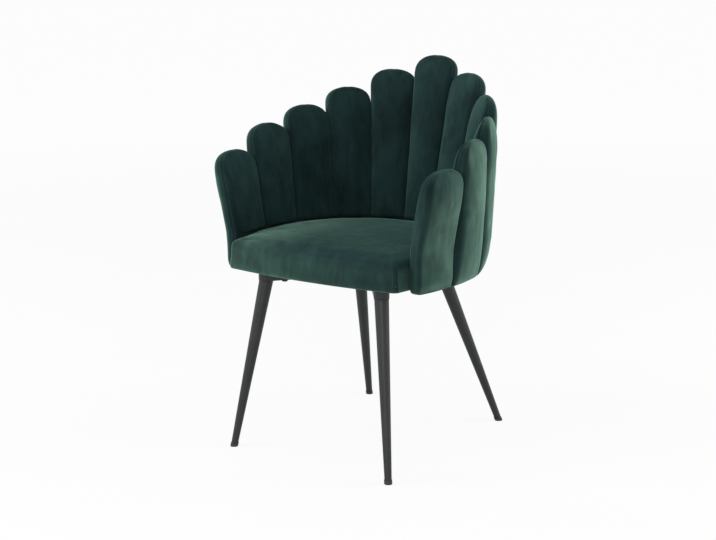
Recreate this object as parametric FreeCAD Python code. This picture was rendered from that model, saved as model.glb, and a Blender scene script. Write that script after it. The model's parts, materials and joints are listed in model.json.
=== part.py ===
"""Upholstered shell armchair: eleven padded channels round a padded seat, on four splayed legs.

Millimetres. +Z is up, -Y is the front, +X is to the right of someone who faces the chair.
The origin is on the floor, under the middle of the whole chair's outer box.
"""
import FreeCAD, Part
import math
import os

Vector = FreeCAD.Vector
UP = Vector(0, 0, 1)
X_AXIS = Vector(1, 0, 0)
Y_AXIS = Vector(0, 1, 0)

# Heights of the shell and the seat above the floor
PAD_BOTTOM_Z = 398.0
CENTRE_PAD_HEIGHT = 452.0
SEAT_BOTTOM_Z = 404.0
SEAT_EDGE_HEIGHT = 69.0
SEAT_CROWN = 11.0

# Plan curve of the shell at seat level and higher up: a round back that runs into nearly straight arms
LOW_CURVE_Z = 475.0
LOW_BACK_Y = 194.0
LOW_BACK_RADIUS = 254.0
LOW_BACK_TURN = math.radians(90)
LOW_ARM_RADIUS = 900.0
HIGH_CURVE_Z = 800.0
HIGH_BACK_Y = 254.0
HIGH_BACK_RADIUS = 266.0
HIGH_BACK_TURN = math.radians(65)
HIGH_ARM_RADIUS = 627.0
BEND_EASE = 18.0

# Pads: the middle one, five on each side of it, the outermost being the arm's front pad
PADS_PER_SIDE = 5
LOW_CENTRE_WIDTH = 76.5
LOW_SIDE_WIDTH = 112.4
LOW_ARM_WIDTH = 115.0
HIGH_CENTRE_WIDTH = 107.0
HIGH_SIDE_WIDTH = 117.0
HIGH_ARM_WIDTH = 122.0
# Height of each pad from the middle outwards, as a share of the middle one's
pad_height_shares = (1.0, 0.923, 0.832, 0.750, 0.673, 0.564)
PAD_GAP = 0.3

# Section of a pad
PAD_INNER_DEPTH = 28.0
PAD_OUTER_DEPTH = 28.0
PAD_OUTER_DEPTH_LOW = 42.0
# Share of that low depth in each pad from the middle outwards: the arm's front pad is drawn in tight
outer_low_shares = (1.0, 1.0, 1.0, 1.0, 0.9, 0.38)
INNER_SIDE_FLAT = 12.0
OUTER_SIDE_FLAT = 6.0
FREE_SIDE_FLAT = 4.0
CROWN_END_TURN = math.radians(15)
DOME_RISE = 50.0
DOME_THIN_RISE = 90.0
DOME_POWER = 2.4
DOME_THIN_POWER = 2.0
TUCK_HEIGHT = 110.0
TUCK_DEPTH = 12.0
FREE_CORNER_RADIUS = 9.0
# Where the sections lie: up the tucked-in bottom, over the bend at seat level, up the straight part,
# and round the dome's quarter turn
tuck_level_shares = (0.0, 0.04, 0.13, 0.27, 0.42)
bend_level_shares = (0.0, 1.0)
straight_level_shares = (0.35, 0.7, 1.0)
dome_level_shares = (0.2, 0.4, 0.58, 0.73, 0.85, 0.94, 1.0)
# The dome stops this share of the way to its point, which leaves a small flat top
DOME_END_SHARE = 0.985

COVER_THICKNESS = 1.2

# Plywood slat in each pad, and the rail that the slats are screwed to
SLAT_THICKNESS = 9.0
SLAT_OFFSET = 2.0
SLAT_SIDE_MARGIN = 11.0
SLAT_TOP_MARGIN = 26.0
SLAT_BOTTOM_Z = 416.0
SLAT_DOME_RISE = 34.0
slat_dome_shares = (0.0, 0.35, 0.65, 0.88, 0.97)
RAIL_THICKNESS = 12.0
RAIL_BOTTOM_Z = 404.0
RAIL_TOP_Z = 456.0
RAIL_END_MARGIN = 22.0
WELL_CLEARANCE = 0.3
# The pads overhang the seat's edge a little, so their well reaches higher than that edge
WELL_RISE = 0.8

# Seat cushion
SEAT_CORNER_X = 220.0
SEAT_CORNER_Y = -243.0
SEAT_FRONT_BOW = 18.0
SEAT_SIDE_LENGTH = 133.0
SEAT_CENTRE_Y = -30.0
SEAT_RAIL_CLEARANCE = 0.4
SEAT_EDGE_ROLL = 17.0
SEAT_CORNER_RADIUS = 9.0
SEAT_BOTTOM_ROLL = 4.0
# How far round the roll of the seat's top edge, then how far in along its crown
seat_roll_shares = (0.0, 0.17, 0.34, 0.5, 0.67, 0.84, 1.0)
seat_crown_shares = (0.1, 0.25, 0.45, 0.7, 1.0)
SEAT_ROLL_TURN = math.radians(80)
BOTTOM_ROLL_SHARE = 0.3
SEAT_CROWN_END = 150.0
BOARD_THICKNESS = 15.0
BOARD_CLEARANCE = 0.3
DUST_COVER_THICKNESS = 1.0
DUST_COVER_MARGIN = 7.0

# Legs
FRONT_FOOT_X = 208.0
FRONT_FOOT_Y = -251.0
FRONT_TOP_X = 149.0
FRONT_TOP_Y = -193.0
BACK_FOOT_X = 186.0
BACK_FOOT_Y = 251.0
BACK_TOP_X = 109.0
BACK_TOP_Y = 92.0
LEG_TOP_RADIUS = 16.0
LEG_FOOT_RADIUS = 7.5
LEG_WALL = 1.5

# Foot glide: a cap with a plug up the tube
GLIDE_HEIGHT = 8.0
GLIDE_LIP = 1.0
GLIDE_PLUG_LENGTH = 18.0
GLIDE_CLEARANCE = 0.2

# Pressed steel channel at the top of each leg, from the leg towards the chair's middle, with two bolts
PLATE_SHEET = 3.0
PLATE_DEPTH = 25.0
PLATE_RIM_THICKNESS = 2.5
PLATE_BOSS_RADIUS = 8.0
PLATE_OUTER_END = 16.5
PLATE_INNER_END = 110.0
PLATE_HALF_WIDTH = 16.5
PLATE_CORNER_RADIUS = 15.5
# Distance of each bolt from the leg's axis
bolt_shares_of_plate = (0.38, 0.84)

# Leg bolts and their tee nuts
BOLT_RADIUS = 4.0
BOLT_HEAD_RADIUS = 6.5
BOLT_HEAD_HEIGHT = 5.5
BOLT_SOCKET_RADIUS = 3.0
BOLT_SOCKET_DEPTH = 3.0
BOLT_CLEARANCE = 0.2
BOLT_END_RISE = 1.0
NUT_BARREL_RADIUS = 5.2
NUT_BARREL_LENGTH = 10.0
NUT_FLANGE_RADIUS = 11.0
NUT_FLANGE_THICKNESS = 1.5

# Screws: two from each slat into the rail, and some from the rail into the seat board
SCREW_RADIUS = 2.0
SCREW_HEAD_RADIUS = 4.0
SCREW_HEAD_HEIGHT = 2.5
SCREW_DEPTH_IN_RAIL = 9.0
SCREW_CLEARANCE = 0.1
SCREW_END_MARGIN = 12.0
RAIL_SCREW_LENGTH = 46.0

OVERRUN = 5.0


def arc_path_point(distance, back_y, radius, turn, arm_radius):
    """Point on the plan curve at a signed distance from its middle, and the way that it faces there."""
    side = -1 if distance < 0 else 1
    length = abs(distance)
    if length <= radius * turn:
        facing = length / radius
        x = radius * math.sin(facing)
        y = back_y - radius * (1 - math.cos(facing))
    else:
        facing = turn + (length - radius * turn) / arm_radius
        x = radius * math.sin(turn) + arm_radius * (math.sin(facing) - math.sin(turn))
        y = back_y - radius * (1 - math.cos(turn)) - arm_radius * (math.cos(turn) - math.cos(facing))
    return Vector(side * x, y, 0), side * facing


def crease_distance(index, centre_width, side_width, arm_width):
    """Distance along the plan curve from its middle to the crease outside pad number index."""
    distance = centre_width / 2
    for pad in range(1, index + 1):
        if pad == PADS_PER_SIDE:
            distance += arm_width
        else:
            distance += centre_width + (side_width - centre_width) * pad / (PADS_PER_SIDE - 1)
    return distance


def lean_height(height):
    """Height over which the shell has leaned outwards: none below seat level, with an eased bend."""
    above = height - LOW_CURVE_Z
    if abs(above) >= BEND_EASE:
        return max(0.0, above)
    return (above + BEND_EASE) ** 2 / (4 * BEND_EASE)


def crease(index, side, height):
    """Point of a crease at a height, and the outward direction there. Below seat level it is upright."""
    low_distance = side * crease_distance(index, LOW_CENTRE_WIDTH, LOW_SIDE_WIDTH, LOW_ARM_WIDTH)
    high_distance = side * crease_distance(index, HIGH_CENTRE_WIDTH, HIGH_SIDE_WIDTH, HIGH_ARM_WIDTH)
    low, low_facing = arc_path_point(
        low_distance, LOW_BACK_Y, LOW_BACK_RADIUS, LOW_BACK_TURN, LOW_ARM_RADIUS)
    high, high_facing = arc_path_point(
        high_distance, HIGH_BACK_Y, HIGH_BACK_RADIUS, HIGH_BACK_TURN, HIGH_ARM_RADIUS)
    share = lean_height(height) / (HIGH_CURVE_Z - LOW_CURVE_Z)
    point = low + (high - low) * share
    facing = low_facing + (high_facing - low_facing) * share
    point.z = height
    return point, Vector(math.sin(facing), math.cos(facing), 0)


def pad_creases(pad, height):
    """The two creases beside a pad, the first being the one nearer to -X or to the middle."""
    if pad == 0:
        return crease(0, -1, height), crease(0, 1, height)
    return crease(pad - 1, 1, height), crease(pad, 1, height)


def pad_top(pad):
    """Height of a pad's top above the floor."""
    return PAD_BOTTOM_Z + CENTRE_PAD_HEIGHT * pad_height_shares[pad]


def pad_frame(pad, height):
    """Middle of the chord between a pad's creases, its direction, its outward normal and its length."""
    (start, _), (end, _) = pad_creases(pad, height)
    chord = end - start
    along = Vector(chord).normalize()
    outward = Vector(-along.y, along.x, 0)
    return start + chord * 0.5, along, outward, chord.Length


def outer_depth(pad, height):
    """How far a pad stands out from its chord, with the drawn-in bottom and its own depth low down."""
    share = min(1.0, max(0.0, (height - LOW_CURVE_Z) / (HIGH_CURVE_Z - LOW_CURVE_Z)))
    low_depth = PAD_OUTER_DEPTH_LOW * outer_low_shares[pad]
    depth = low_depth + (PAD_OUTER_DEPTH - low_depth) * min(1.0, 2 * share)
    above = (height - PAD_BOTTOM_Z) / TUCK_HEIGHT
    if above < 1:
        depth = TUCK_DEPTH + (depth - TUCK_DEPTH) * math.sqrt(max(0.0, 1 - (1 - above) ** 2))
    return depth


def half_crown(ends, depth):
    """Points of one face of a section: flat end, corner arc middle, crown start, crown middle and so on.

    ends holds, for each side, the flat's end in chord coordinates and how far the flat leans outwards.
    """
    turn = CROWN_END_TURN * depth / PAD_INNER_DEPTH
    chord_share = math.tan(turn / 2) / 2
    reach = []
    for _, _, lean in ends:
        reach.append((math.cos(lean) - math.sin(turn)) / (math.cos(turn) + math.sin(lean)))
    width = ends[1][0] - ends[0][0]
    weighted = reach[0] * ends[0][1] + reach[1] * ends[1][1]
    level = (depth - chord_share * (width + weighted)) / (1 - chord_share * (reach[0] + reach[1]))
    corners = []
    for (x, y, lean), inward in zip(ends, (1, -1)):
        radius = (level - y) / (math.cos(turn) + math.sin(lean))
        halfway = (math.pi / 2 - turn - lean) / 2
        middle = (x + inward * radius * (math.cos(lean) - math.cos(halfway)),
                  y + radius * (math.sin(halfway) + math.sin(lean)))
        top = (x + inward * radius * (math.cos(lean) - math.sin(turn)), level)
        corners.append((middle, top))
    crown = ((corners[0][1][0] + corners[1][1][0]) / 2, depth)
    return [ends[0][:2], corners[0][0], corners[0][1], crown, corners[1][1], corners[1][0], ends[1][:2]]


def pad_section(pad, height, width_share, depth_share, inset):
    """Closed wire of a pad at a height: a flat beside each neighbour, four corners and two crowns."""
    centre, along, outward, _ = pad_frame(pad, height)
    sides = pad_creases(pad, height)
    inner_depth = PAD_INNER_DEPTH * depth_share - inset
    full_depth = outer_depth(pad, height)
    back_depth = full_depth * depth_share - inset
    inner_ends = []
    outer_ends = []
    for number, (point, facing) in enumerate(sides):
        away = -1 if number == 0 else 1
        free = pad == PADS_PER_SIDE and number == 1
        y_in = (FREE_SIDE_FLAT if free else INNER_SIDE_FLAT) * inner_depth / PAD_INNER_DEPTH
        y_out = (FREE_SIDE_FLAT if free else OUTER_SIDE_FLAT) * back_depth / PAD_OUTER_DEPTH
        lean = away * math.atan2(facing.dot(along), facing.dot(outward))
        at = (point - centre).dot(along) * width_share
        at -= away * (inset + (0 if free else PAD_GAP / 2) / math.cos(lean))
        if free:
            at -= FREE_CORNER_RADIUS * free_corner_share(height)
        inner_ends.append((at - away * y_in * math.tan(lean), y_in, -lean))
        outer_ends.append((at + away * y_out * math.tan(lean), y_out, lean))
    inner = half_crown(inner_ends, inner_depth)
    outer = half_crown(outer_ends, back_depth)

    def place(spot, face):
        return centre + along * spot[0] + outward * (face * spot[1])

    front = [place(spot, -1) for spot in inner]
    back = [place(spot, 1) for spot in outer]
    edges = [
        Part.LineSegment(front[0], back[0]).toShape(),
        Part.Arc(back[0], back[1], back[2]).toShape(),
        Part.Arc(back[2], back[3], back[4]).toShape(),
        Part.Arc(back[4], back[5], back[6]).toShape(),
        Part.LineSegment(back[6], front[6]).toShape(),
        Part.Arc(front[6], front[5], front[4]).toShape(),
        Part.Arc(front[4], front[3], front[2]).toShape(),
        Part.Arc(front[2], front[1], front[0]).toShape(),
    ]
    return Part.Wire(edges)


def free_corner_share(height):
    """How much of the free side's rounded bottom corner is taken off at a height."""
    above = (height - PAD_BOTTOM_Z) / FREE_CORNER_RADIUS
    if above >= 1:
        return 0.0
    return 1 - math.sqrt(max(0.0, 1 - (1 - above) ** 2))


def dome_share(height, top, rise, power):
    """How much of the full width or depth is left at a height within the dome."""
    into = (height - (top - rise)) / rise * DOME_END_SHARE
    if into <= 0:
        return 1.0
    return math.sqrt(1 - into ** power)


def pad_solid(pad, inset):
    """A pad's soft form, drawn in at the bottom and domed at the top, inset by a thickness."""
    bottom = PAD_BOTTOM_Z
    top = pad_top(pad)
    heights = [bottom + TUCK_HEIGHT * share for share in tuck_level_shares]
    heights += [LOW_CURVE_Z + BEND_EASE * share for share in bend_level_shares]
    straight_from = heights[-1]
    straight_to = top - DOME_THIN_RISE
    heights += [straight_from + (straight_to - straight_from) * share for share in straight_level_shares]
    heights += [straight_to + DOME_THIN_RISE * share for share in dome_level_shares]
    wires = []
    for height in heights:
        width_share = dome_share(height, top, DOME_RISE, DOME_POWER)
        depth_share = dome_share(height, top, DOME_THIN_RISE, DOME_THIN_POWER)
        fit = (height - bottom) / (top - bottom)
        wire = pad_section(pad, height, width_share, depth_share, inset)
        wire.translate(UP * (inset * (1 - 2 * fit)))
        wires.append(wire)
    return Part.makeLoft(wires, True, False)


def slat_section(pad, height, low_offset, high_offset, half_width):
    """Rectangle of a slat at a height."""
    centre, along, outward, _ = pad_frame(pad, height)
    corners = [
        centre - along * half_width + outward * low_offset,
        centre + along * half_width + outward * low_offset,
        centre + along * half_width + outward * high_offset,
        centre - along * half_width + outward * high_offset,
    ]
    return Part.makePolygon(corners + [corners[0]])


def slat_solid(pad):
    """Plywood slat with a rounded top."""
    top = pad_top(pad) - SLAT_TOP_MARGIN
    shoulder = top - SLAT_DOME_RISE
    heights = [SLAT_BOTTOM_Z, RAIL_TOP_Z]
    heights += [shoulder + SLAT_DOME_RISE * share for share in slat_dome_shares]
    wires = []
    for height in heights:
        full = pad_frame(pad, height)[3] / 2 - SLAT_SIDE_MARGIN
        into = max(0.0, (height - shoulder) / SLAT_DOME_RISE)
        half_width = full * math.sqrt(1 - into ** 2)
        wires.append(slat_section(pad, height, SLAT_OFFSET, SLAT_OFFSET + SLAT_THICKNESS, half_width))
    return Part.makeLoft(wires, True, True)


def rail_outline(height, offset):
    """Points of the rail's face at a height, from one arm's front to the other's, and their mirror."""
    lines = []
    for pad in range(PADS_PER_SIDE + 1):
        centre, along, outward, _ = pad_frame(pad, height)
        lines.append((centre + outward * offset, along))
    points = [meet(first, second) for first, second in zip(lines, lines[1:])]
    centre, along, outward, length = pad_frame(PADS_PER_SIDE, height)
    points.append(centre + along * (length / 2 - RAIL_END_MARGIN) + outward * offset)
    mirrored = [Vector(-point.x, point.y, point.z) for point in reversed(points)]
    return mirrored + points


def meet(first, second):
    """Where two level lines, each a point and a direction, cross."""
    (start, along), (other, across) = first, second
    cross = along.x * across.y - along.y * across.x
    gap = other - start
    reach = (gap.x * across.y - gap.y * across.x) / cross
    return start + along * reach


def rail_solid(low, high, inner_offset, outer_offset):
    """Bent rail with one flat for each slat, leaning as the slats do."""
    wires = []
    for height in (low, high):
        outside = rail_outline(height, outer_offset)
        inside = rail_outline(height, inner_offset)
        loop = outside + list(reversed(inside))
        wires.append(Part.makePolygon(loop + [loop[0]]))
    return Part.makeLoft(wires, True, True)


def seat_back_point(distance):
    """Point of the seat's outline that follows the shell's low curve at a margin inside it."""
    point, facing = arc_path_point(distance, LOW_BACK_Y, LOW_BACK_RADIUS, LOW_BACK_TURN, LOW_ARM_RADIUS)
    return point - Vector(math.sin(facing), math.cos(facing), 0) * SEAT_BACK_MARGIN


def seat_outline(inset, height):
    """Closed wire of the seat's plan outline, drawn in by a distance towards the seat's centre."""
    scale = 1 - inset / (SEAT_CENTRE_Y - SEAT_CORNER_Y)
    centre = Vector(0, SEAT_CENTRE_Y, 0)
    turn_length = LOW_BACK_RADIUS * LOW_BACK_TURN
    side_end = seat_back_point(turn_length + SEAT_SIDE_LENGTH)
    corner = Vector(SEAT_CORNER_X, SEAT_CORNER_Y, 0)
    bow_slope = 2 * SEAT_FRONT_BOW / SEAT_CORNER_X
    corner_front = corner - Vector(1, bow_slope, 0).normalize() * SEAT_CORNER_RADIUS
    corner_side = corner + (side_end - corner).normalize() * SEAT_CORNER_RADIUS
    corner_middle = ((corner_front + corner_side) * 0.5 + corner) * 0.5
    right = [
        (corner_front, corner_middle, corner_side),
        (corner_side, None, side_end),
        (side_end, seat_back_point(turn_length + SEAT_SIDE_LENGTH / 2), seat_back_point(turn_length)),
        (seat_back_point(turn_length), seat_back_point(turn_length / 2), seat_back_point(0)),
    ]

    def place(point, side):
        flat = centre + (Vector(side * point.x, point.y, 0) - centre) * scale
        return Vector(flat.x, flat.y, height)

    def stretch(start, middle, end, side):
        if middle is None:
            return Part.LineSegment(place(start, side), place(end, side)).toShape()
        return Part.Arc(place(start, side), place(middle, side), place(end, side)).toShape()

    bow = Vector(0, SEAT_CORNER_Y - SEAT_FRONT_BOW, 0)
    edges = [Part.Arc(place(corner_front, -1), place(bow, 1), place(corner_front, 1)).toShape()]
    edges += [stretch(start, middle, end, 1) for start, middle, end in right]
    edges += [stretch(end, middle, start, -1) for start, middle, end in reversed(right)]
    return Part.Wire(edges)


def seat_levels():
    """Inset and height of each section of the cushion, from its bottom edge up and over its crown."""
    edge_z = SEAT_BOTTOM_Z + SEAT_EDGE_HEIGHT
    side_low = SEAT_BOTTOM_Z + SEAT_BOTTOM_ROLL
    eased = SEAT_BOTTOM_ROLL * BOTTOM_ROLL_SHARE
    levels = [(SEAT_BOTTOM_ROLL, SEAT_BOTTOM_Z), (eased, SEAT_BOTTOM_Z + eased), (0.0, side_low)]
    for share in seat_roll_shares:
        turn = share * SEAT_ROLL_TURN
        drawn_in = SEAT_EDGE_ROLL * (1 - math.cos(turn))
        levels.append((drawn_in, edge_z - SEAT_EDGE_ROLL * (1 - math.sin(turn))))
    crown_from, crown_z = levels[-1]
    crown_run = SEAT_CROWN_END - crown_from
    crown_rise = SEAT_BOTTOM_Z + SEAT_EDGE_HEIGHT + SEAT_CROWN - crown_z
    for share in seat_crown_shares:
        levels.append((crown_from + crown_run * share, crown_z + crown_rise * (1 - (1 - share) ** 2)))
    return levels


def seat_form(inset):
    """The cushion's crowned form, inset by a thickness."""
    wires = []
    low = SEAT_BOTTOM_Z
    high = SEAT_BOTTOM_Z + SEAT_EDGE_HEIGHT + SEAT_CROWN
    for drawn_in, height in seat_levels():
        lift = inset * (height - low) / (high - low)
        wires.append(seat_outline(drawn_in + inset, height - lift))
    return Part.makeLoft(wires, True, True)


def seat_prism(inset, low, high):
    """Upright prism on the seat's outline."""
    return Part.Face(seat_outline(inset, low)).extrude(UP * (high - low))


def tapered_leg(foot, top, foot_radius, top_radius, low, high):
    """Tapered round bar along a leg's axis, cut level at two heights."""
    run = top - foot
    spare = run * (OVERRUN * 4 / run.Length)
    slope = (top_radius - foot_radius) / run.Length
    start = foot - spare
    length = run.Length + 2 * spare.Length
    start_radius = foot_radius - slope * spare.Length
    end_radius = start_radius + slope * length
    cone = Part.makeCone(start_radius, end_radius, length, start, run)
    half = LEG_TOP_RADIUS + abs(run.x) + abs(run.y) + LEG_TOP_RADIUS
    slab = Part.makeBox(2 * half, 2 * half, high - low, Vector(foot.x - half, foot.y - half, low))
    return cone.common(slab)


def cylinder(radius, length, base, direction):
    """Round bar from a point along a direction."""
    return Part.makeCylinder(radius, length, base, direction)


def rounded_plate(corner_low, corner_high, low, high, radius):
    """Flat plate with rounded upright corners, between two opposite corners of its plan."""
    box = Part.makeBox(corner_high.x - corner_low.x, corner_high.y - corner_low.y, high - low,
                       Vector(corner_low.x, corner_low.y, low))
    upright = [edge for edge in box.Edges if edge.tangentAt(edge.FirstParameter).cross(UP).Length == 0]
    return box.makeFillet(radius, upright)


LEGS = {
    "front": (FRONT_FOOT_X, FRONT_FOOT_Y, FRONT_TOP_X, FRONT_TOP_Y),
    "back": (BACK_FOOT_X, BACK_FOOT_Y, BACK_TOP_X, BACK_TOP_Y),
}

# The rail's flats cut in from the shell's curve by the sagitta of the widest pad, and the seat stays clear
WIDEST_SAGITTA = LOW_SIDE_WIDTH ** 2 / (8 * LOW_BACK_RADIUS)
SEAT_BACK_MARGIN = RAIL_THICKNESS - SLAT_OFFSET + WIDEST_SAGITTA + SEAT_RAIL_CLEARANCE

DUST_COVER_Z = SEAT_BOTTOM_Z - DUST_COVER_THICKNESS
PLATE_UNDERSIDE_Z = DUST_COVER_Z - PLATE_DEPTH
BOARD_TOP_Z = SEAT_BOTTOM_Z + BOARD_THICKNESS


def leg_axis(row):
    """A right-hand leg's foot on the floor and its top at the seat's underside."""
    foot_x, foot_y, top_x, top_y = LEGS[row]
    return Vector(foot_x, foot_y, 0), Vector(top_x, top_y, SEAT_BOTTOM_Z)


def plate_line(row):
    """Where a right-hand leg's axis meets its plate, in plan, and the way from there to the chair's middle."""
    foot, top = leg_axis(row)
    start = foot + (top - foot) * (PLATE_UNDERSIDE_Z / top.z)
    start.z = 0
    return start, Vector(-start).normalize()


def bolt_places():
    """Plan position of each bolt of the right-hand leg plates."""
    places = []
    for row in LEGS:
        start, inwards = plate_line(row)
        places += [start + inwards * (PLATE_INNER_END * share) for share in bolt_shares_of_plate]
    return places


def make_leg(row):
    """Tapered steel tube, open at the foot for its glide."""
    foot, top = leg_axis(row)
    outside = tapered_leg(foot, top, LEG_FOOT_RADIUS, LEG_TOP_RADIUS, GLIDE_HEIGHT, PLATE_UNDERSIDE_Z)
    bore = tapered_leg(foot, top, LEG_FOOT_RADIUS - LEG_WALL, LEG_TOP_RADIUS - LEG_WALL,
                       GLIDE_HEIGHT - OVERRUN, PLATE_UNDERSIDE_Z + OVERRUN)
    return outside.cut(bore)


def make_glide(row):
    """Plastic foot: a cap that the tube stands on and a plug up its bore."""
    foot, top = leg_axis(row)
    cap = tapered_leg(foot, top, LEG_FOOT_RADIUS + GLIDE_LIP, LEG_TOP_RADIUS + GLIDE_LIP, 0, GLIDE_HEIGHT)
    shrink = LEG_WALL + GLIDE_CLEARANCE
    plug = tapered_leg(foot, top, LEG_FOOT_RADIUS - shrink, LEG_TOP_RADIUS - shrink, 0,
                       GLIDE_HEIGHT + GLIDE_PLUG_LENGTH)
    return cap.fuse(plug).removeSplitter()


def plate_block(row, inset, open_end, low, high):
    """Block on a plate's plan, drawn in by a distance, and reaching out past the plate's inner end."""
    start, inwards = plate_line(row)
    outer = Vector(inset - PLATE_OUTER_END, inset - PLATE_HALF_WIDTH, 0)
    inner = Vector(PLATE_INNER_END + open_end, PLATE_HALF_WIDTH - inset, 0)
    block = rounded_plate(outer, inner, low, high, PLATE_CORNER_RADIUS - inset)
    placement = FreeCAD.Placement(start, FreeCAD.Rotation(X_AXIS, inwards))
    return block.transformed(placement.toMatrix())


def make_plate(row):
    """Pressed channel with its rim turned up on three sides, and a drilled boss for each of its bolts."""
    channel = plate_block(row, 0, 0, PLATE_UNDERSIDE_Z, DUST_COVER_Z)
    hollow = plate_block(row, PLATE_RIM_THICKNESS, 2 * PLATE_CORNER_RADIUS, PLATE_UNDERSIDE_Z + PLATE_SHEET,
                         DUST_COVER_Z + OVERRUN)
    length = PLATE_DEPTH + 2 * OVERRUN
    for place in bolt_places():
        place.z = PLATE_UNDERSIDE_Z - OVERRUN
        hollow = hollow.cut(cylinder(PLATE_BOSS_RADIUS, length, place, UP))
        channel = channel.cut(cylinder(BOLT_RADIUS + BOLT_CLEARANCE, length, place, UP))
    return channel.cut(hollow)


def make_bolt(place):
    """Cap bolt that hangs its head under the plate."""
    seat = Vector(place.x, place.y, PLATE_UNDERSIDE_Z)
    length = BOARD_TOP_Z + BOLT_END_RISE - PLATE_UNDERSIDE_Z
    shank = cylinder(BOLT_RADIUS, length, seat, UP)
    head = cylinder(BOLT_HEAD_RADIUS, BOLT_HEAD_HEIGHT, seat, -UP)
    low = seat - UP * BOLT_HEAD_HEIGHT
    socket = cylinder(BOLT_SOCKET_RADIUS, BOLT_SOCKET_DEPTH, low, UP)
    return shank.fuse(head).removeSplitter().cut(socket)


def make_tee_nut(place):
    """Tee nut pressed into the seat board from above."""
    top = Vector(place.x, place.y, BOARD_TOP_Z)
    barrel = cylinder(NUT_BARREL_RADIUS, NUT_BARREL_LENGTH, top, -UP)
    flange = cylinder(NUT_FLANGE_RADIUS, NUT_FLANGE_THICKNESS, top, UP)
    base = top - UP * (NUT_BARREL_LENGTH + OVERRUN)
    bore = cylinder(BOLT_RADIUS + BOLT_CLEARANCE, NUT_BARREL_LENGTH + 4 * OVERRUN, base, UP)
    return barrel.fuse(flange).cut(bore)


def slat_screw_axes(pad):
    """Where a slat's two screws start on its outer face, and the way they point."""
    axes = []
    low = SLAT_BOTTOM_Z + SCREW_END_MARGIN
    high = RAIL_TOP_Z - SCREW_END_MARGIN
    for height in (low, high):
        centre, _, outward, _ = pad_frame(pad, height)
        axes.append((centre + outward * (SLAT_OFFSET + SLAT_THICKNESS), -outward))
    return axes


def rail_screw_axes(pad):
    """Where the rail's screw starts on the rail's outer face, level with the seat board's middle."""
    if pad % 2 == 0 and pad > 0:
        return []
    centre, _, outward, _ = pad_frame(pad, (SEAT_BOTTOM_Z + BOARD_TOP_Z) / 2)
    return [(centre + outward * SLAT_OFFSET, -outward)]


def make_screw(start, direction, length, grow):
    """Countersunk screw whose head is flush with where it starts, grown by a clearance for its hole."""
    shank = cylinder(SCREW_RADIUS + grow, length + grow, start, direction)
    head = Part.makeCone(SCREW_HEAD_RADIUS + grow, SCREW_RADIUS + grow, SCREW_HEAD_HEIGHT, start, direction)
    return shank.fuse(head)


def mirrored(shape):
    """The same shape on the chair's other side."""
    return shape.mirror(Vector(0, 0, 0), X_AXIS)


def well_cutter():
    """The room that the seat cushion and the rail take out of the pads."""
    below = PAD_BOTTOM_Z - OVERRUN
    seat = seat_prism(-WELL_CLEARANCE, below, SEAT_BOTTOM_Z + SEAT_EDGE_HEIGHT + WELL_RISE)
    rail = rail_solid(below, RAIL_TOP_Z + WELL_CLEARANCE, -2 * PAD_INNER_DEPTH, SLAT_OFFSET + WELL_CLEARANCE)
    return seat.fuse(rail)


def seat_slab(shape, low, high):
    """The stretch of a seat form between two heights."""
    half = SEAT_CORNER_X + LOW_BACK_RADIUS
    return shape.common(Part.makeBox(2 * half, 2 * half, high - low, Vector(-half, -half, low)))


def pad_nodes(well):
    """Cover, foam and slat of every pad, numbered from the -X arm round the back to the +X arm."""
    nodes = {}
    for pad in range(PADS_PER_SIDE + 1):
        outer = pad_solid(pad, 0)
        inner = pad_solid(pad, COVER_THICKNESS)
        slat = slat_solid(pad)
        pieces = {
            "cover": outer.cut(inner).cut(well),
            "foam": inner.cut(slat).cut(well),
            "slat": slat,
        }
        for start, direction in slat_screw_axes(pad):
            hole = make_screw(start, direction, SLAT_THICKNESS + OVERRUN, SCREW_CLEARANCE)
            pieces["slat"] = pieces["slat"].cut(hole)
        for name, shape in pieces.items():
            nodes[f"pad_{name}_{PADS_PER_SIDE + 1 + pad:02d}"] = shape
            if pad > 0:
                nodes[f"pad_{name}_{PADS_PER_SIDE + 1 - pad:02d}"] = mirrored(shape)
    return nodes


def all_screws(axes_of_pad, length, grow):
    """Every screw of a kind, on both sides of the chair."""
    screws = []
    for pad in range(PADS_PER_SIDE + 1):
        for start, direction in axes_of_pad(pad):
            screw = make_screw(start, direction, length, grow)
            screws.append(screw)
            if pad > 0:
                screws.append(mirrored(screw))
    return screws


def frame_nodes():
    """Rail, seat board and every screw."""
    slat_length = SLAT_THICKNESS + SCREW_DEPTH_IN_RAIL
    rail = rail_solid(RAIL_BOTTOM_Z, RAIL_TOP_Z, SLAT_OFFSET - RAIL_THICKNESS, SLAT_OFFSET)
    form = seat_form(COVER_THICKNESS + BOARD_CLEARANCE)
    board = seat_slab(form, SEAT_BOTTOM_Z, BOARD_TOP_Z)
    for hole in all_screws(slat_screw_axes, slat_length, SCREW_CLEARANCE):
        rail = rail.cut(hole)
    for hole in all_screws(rail_screw_axes, RAIL_SCREW_LENGTH, SCREW_CLEARANCE):
        rail = rail.cut(hole)
        board = board.cut(hole)
    for place in bolt_places():
        base = Vector(place.x, place.y, SEAT_BOTTOM_Z - OVERRUN)
        top = Vector(place.x, place.y, BOARD_TOP_Z)
        for hole in (cylinder(BOLT_RADIUS + BOLT_CLEARANCE, BOARD_THICKNESS + 2 * OVERRUN, base, UP),
                     cylinder(NUT_BARREL_RADIUS, NUT_BARREL_LENGTH, top, -UP)):
            board = board.cut(hole).cut(mirrored(hole))
    return {
        "shell_rail": rail,
        "seat_board": board,
        "slat_screws": Part.makeCompound(all_screws(slat_screw_axes, slat_length, 0)),
        "rail_screws": Part.makeCompound(all_screws(rail_screw_axes, RAIL_SCREW_LENGTH, 0)),
    }


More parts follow.
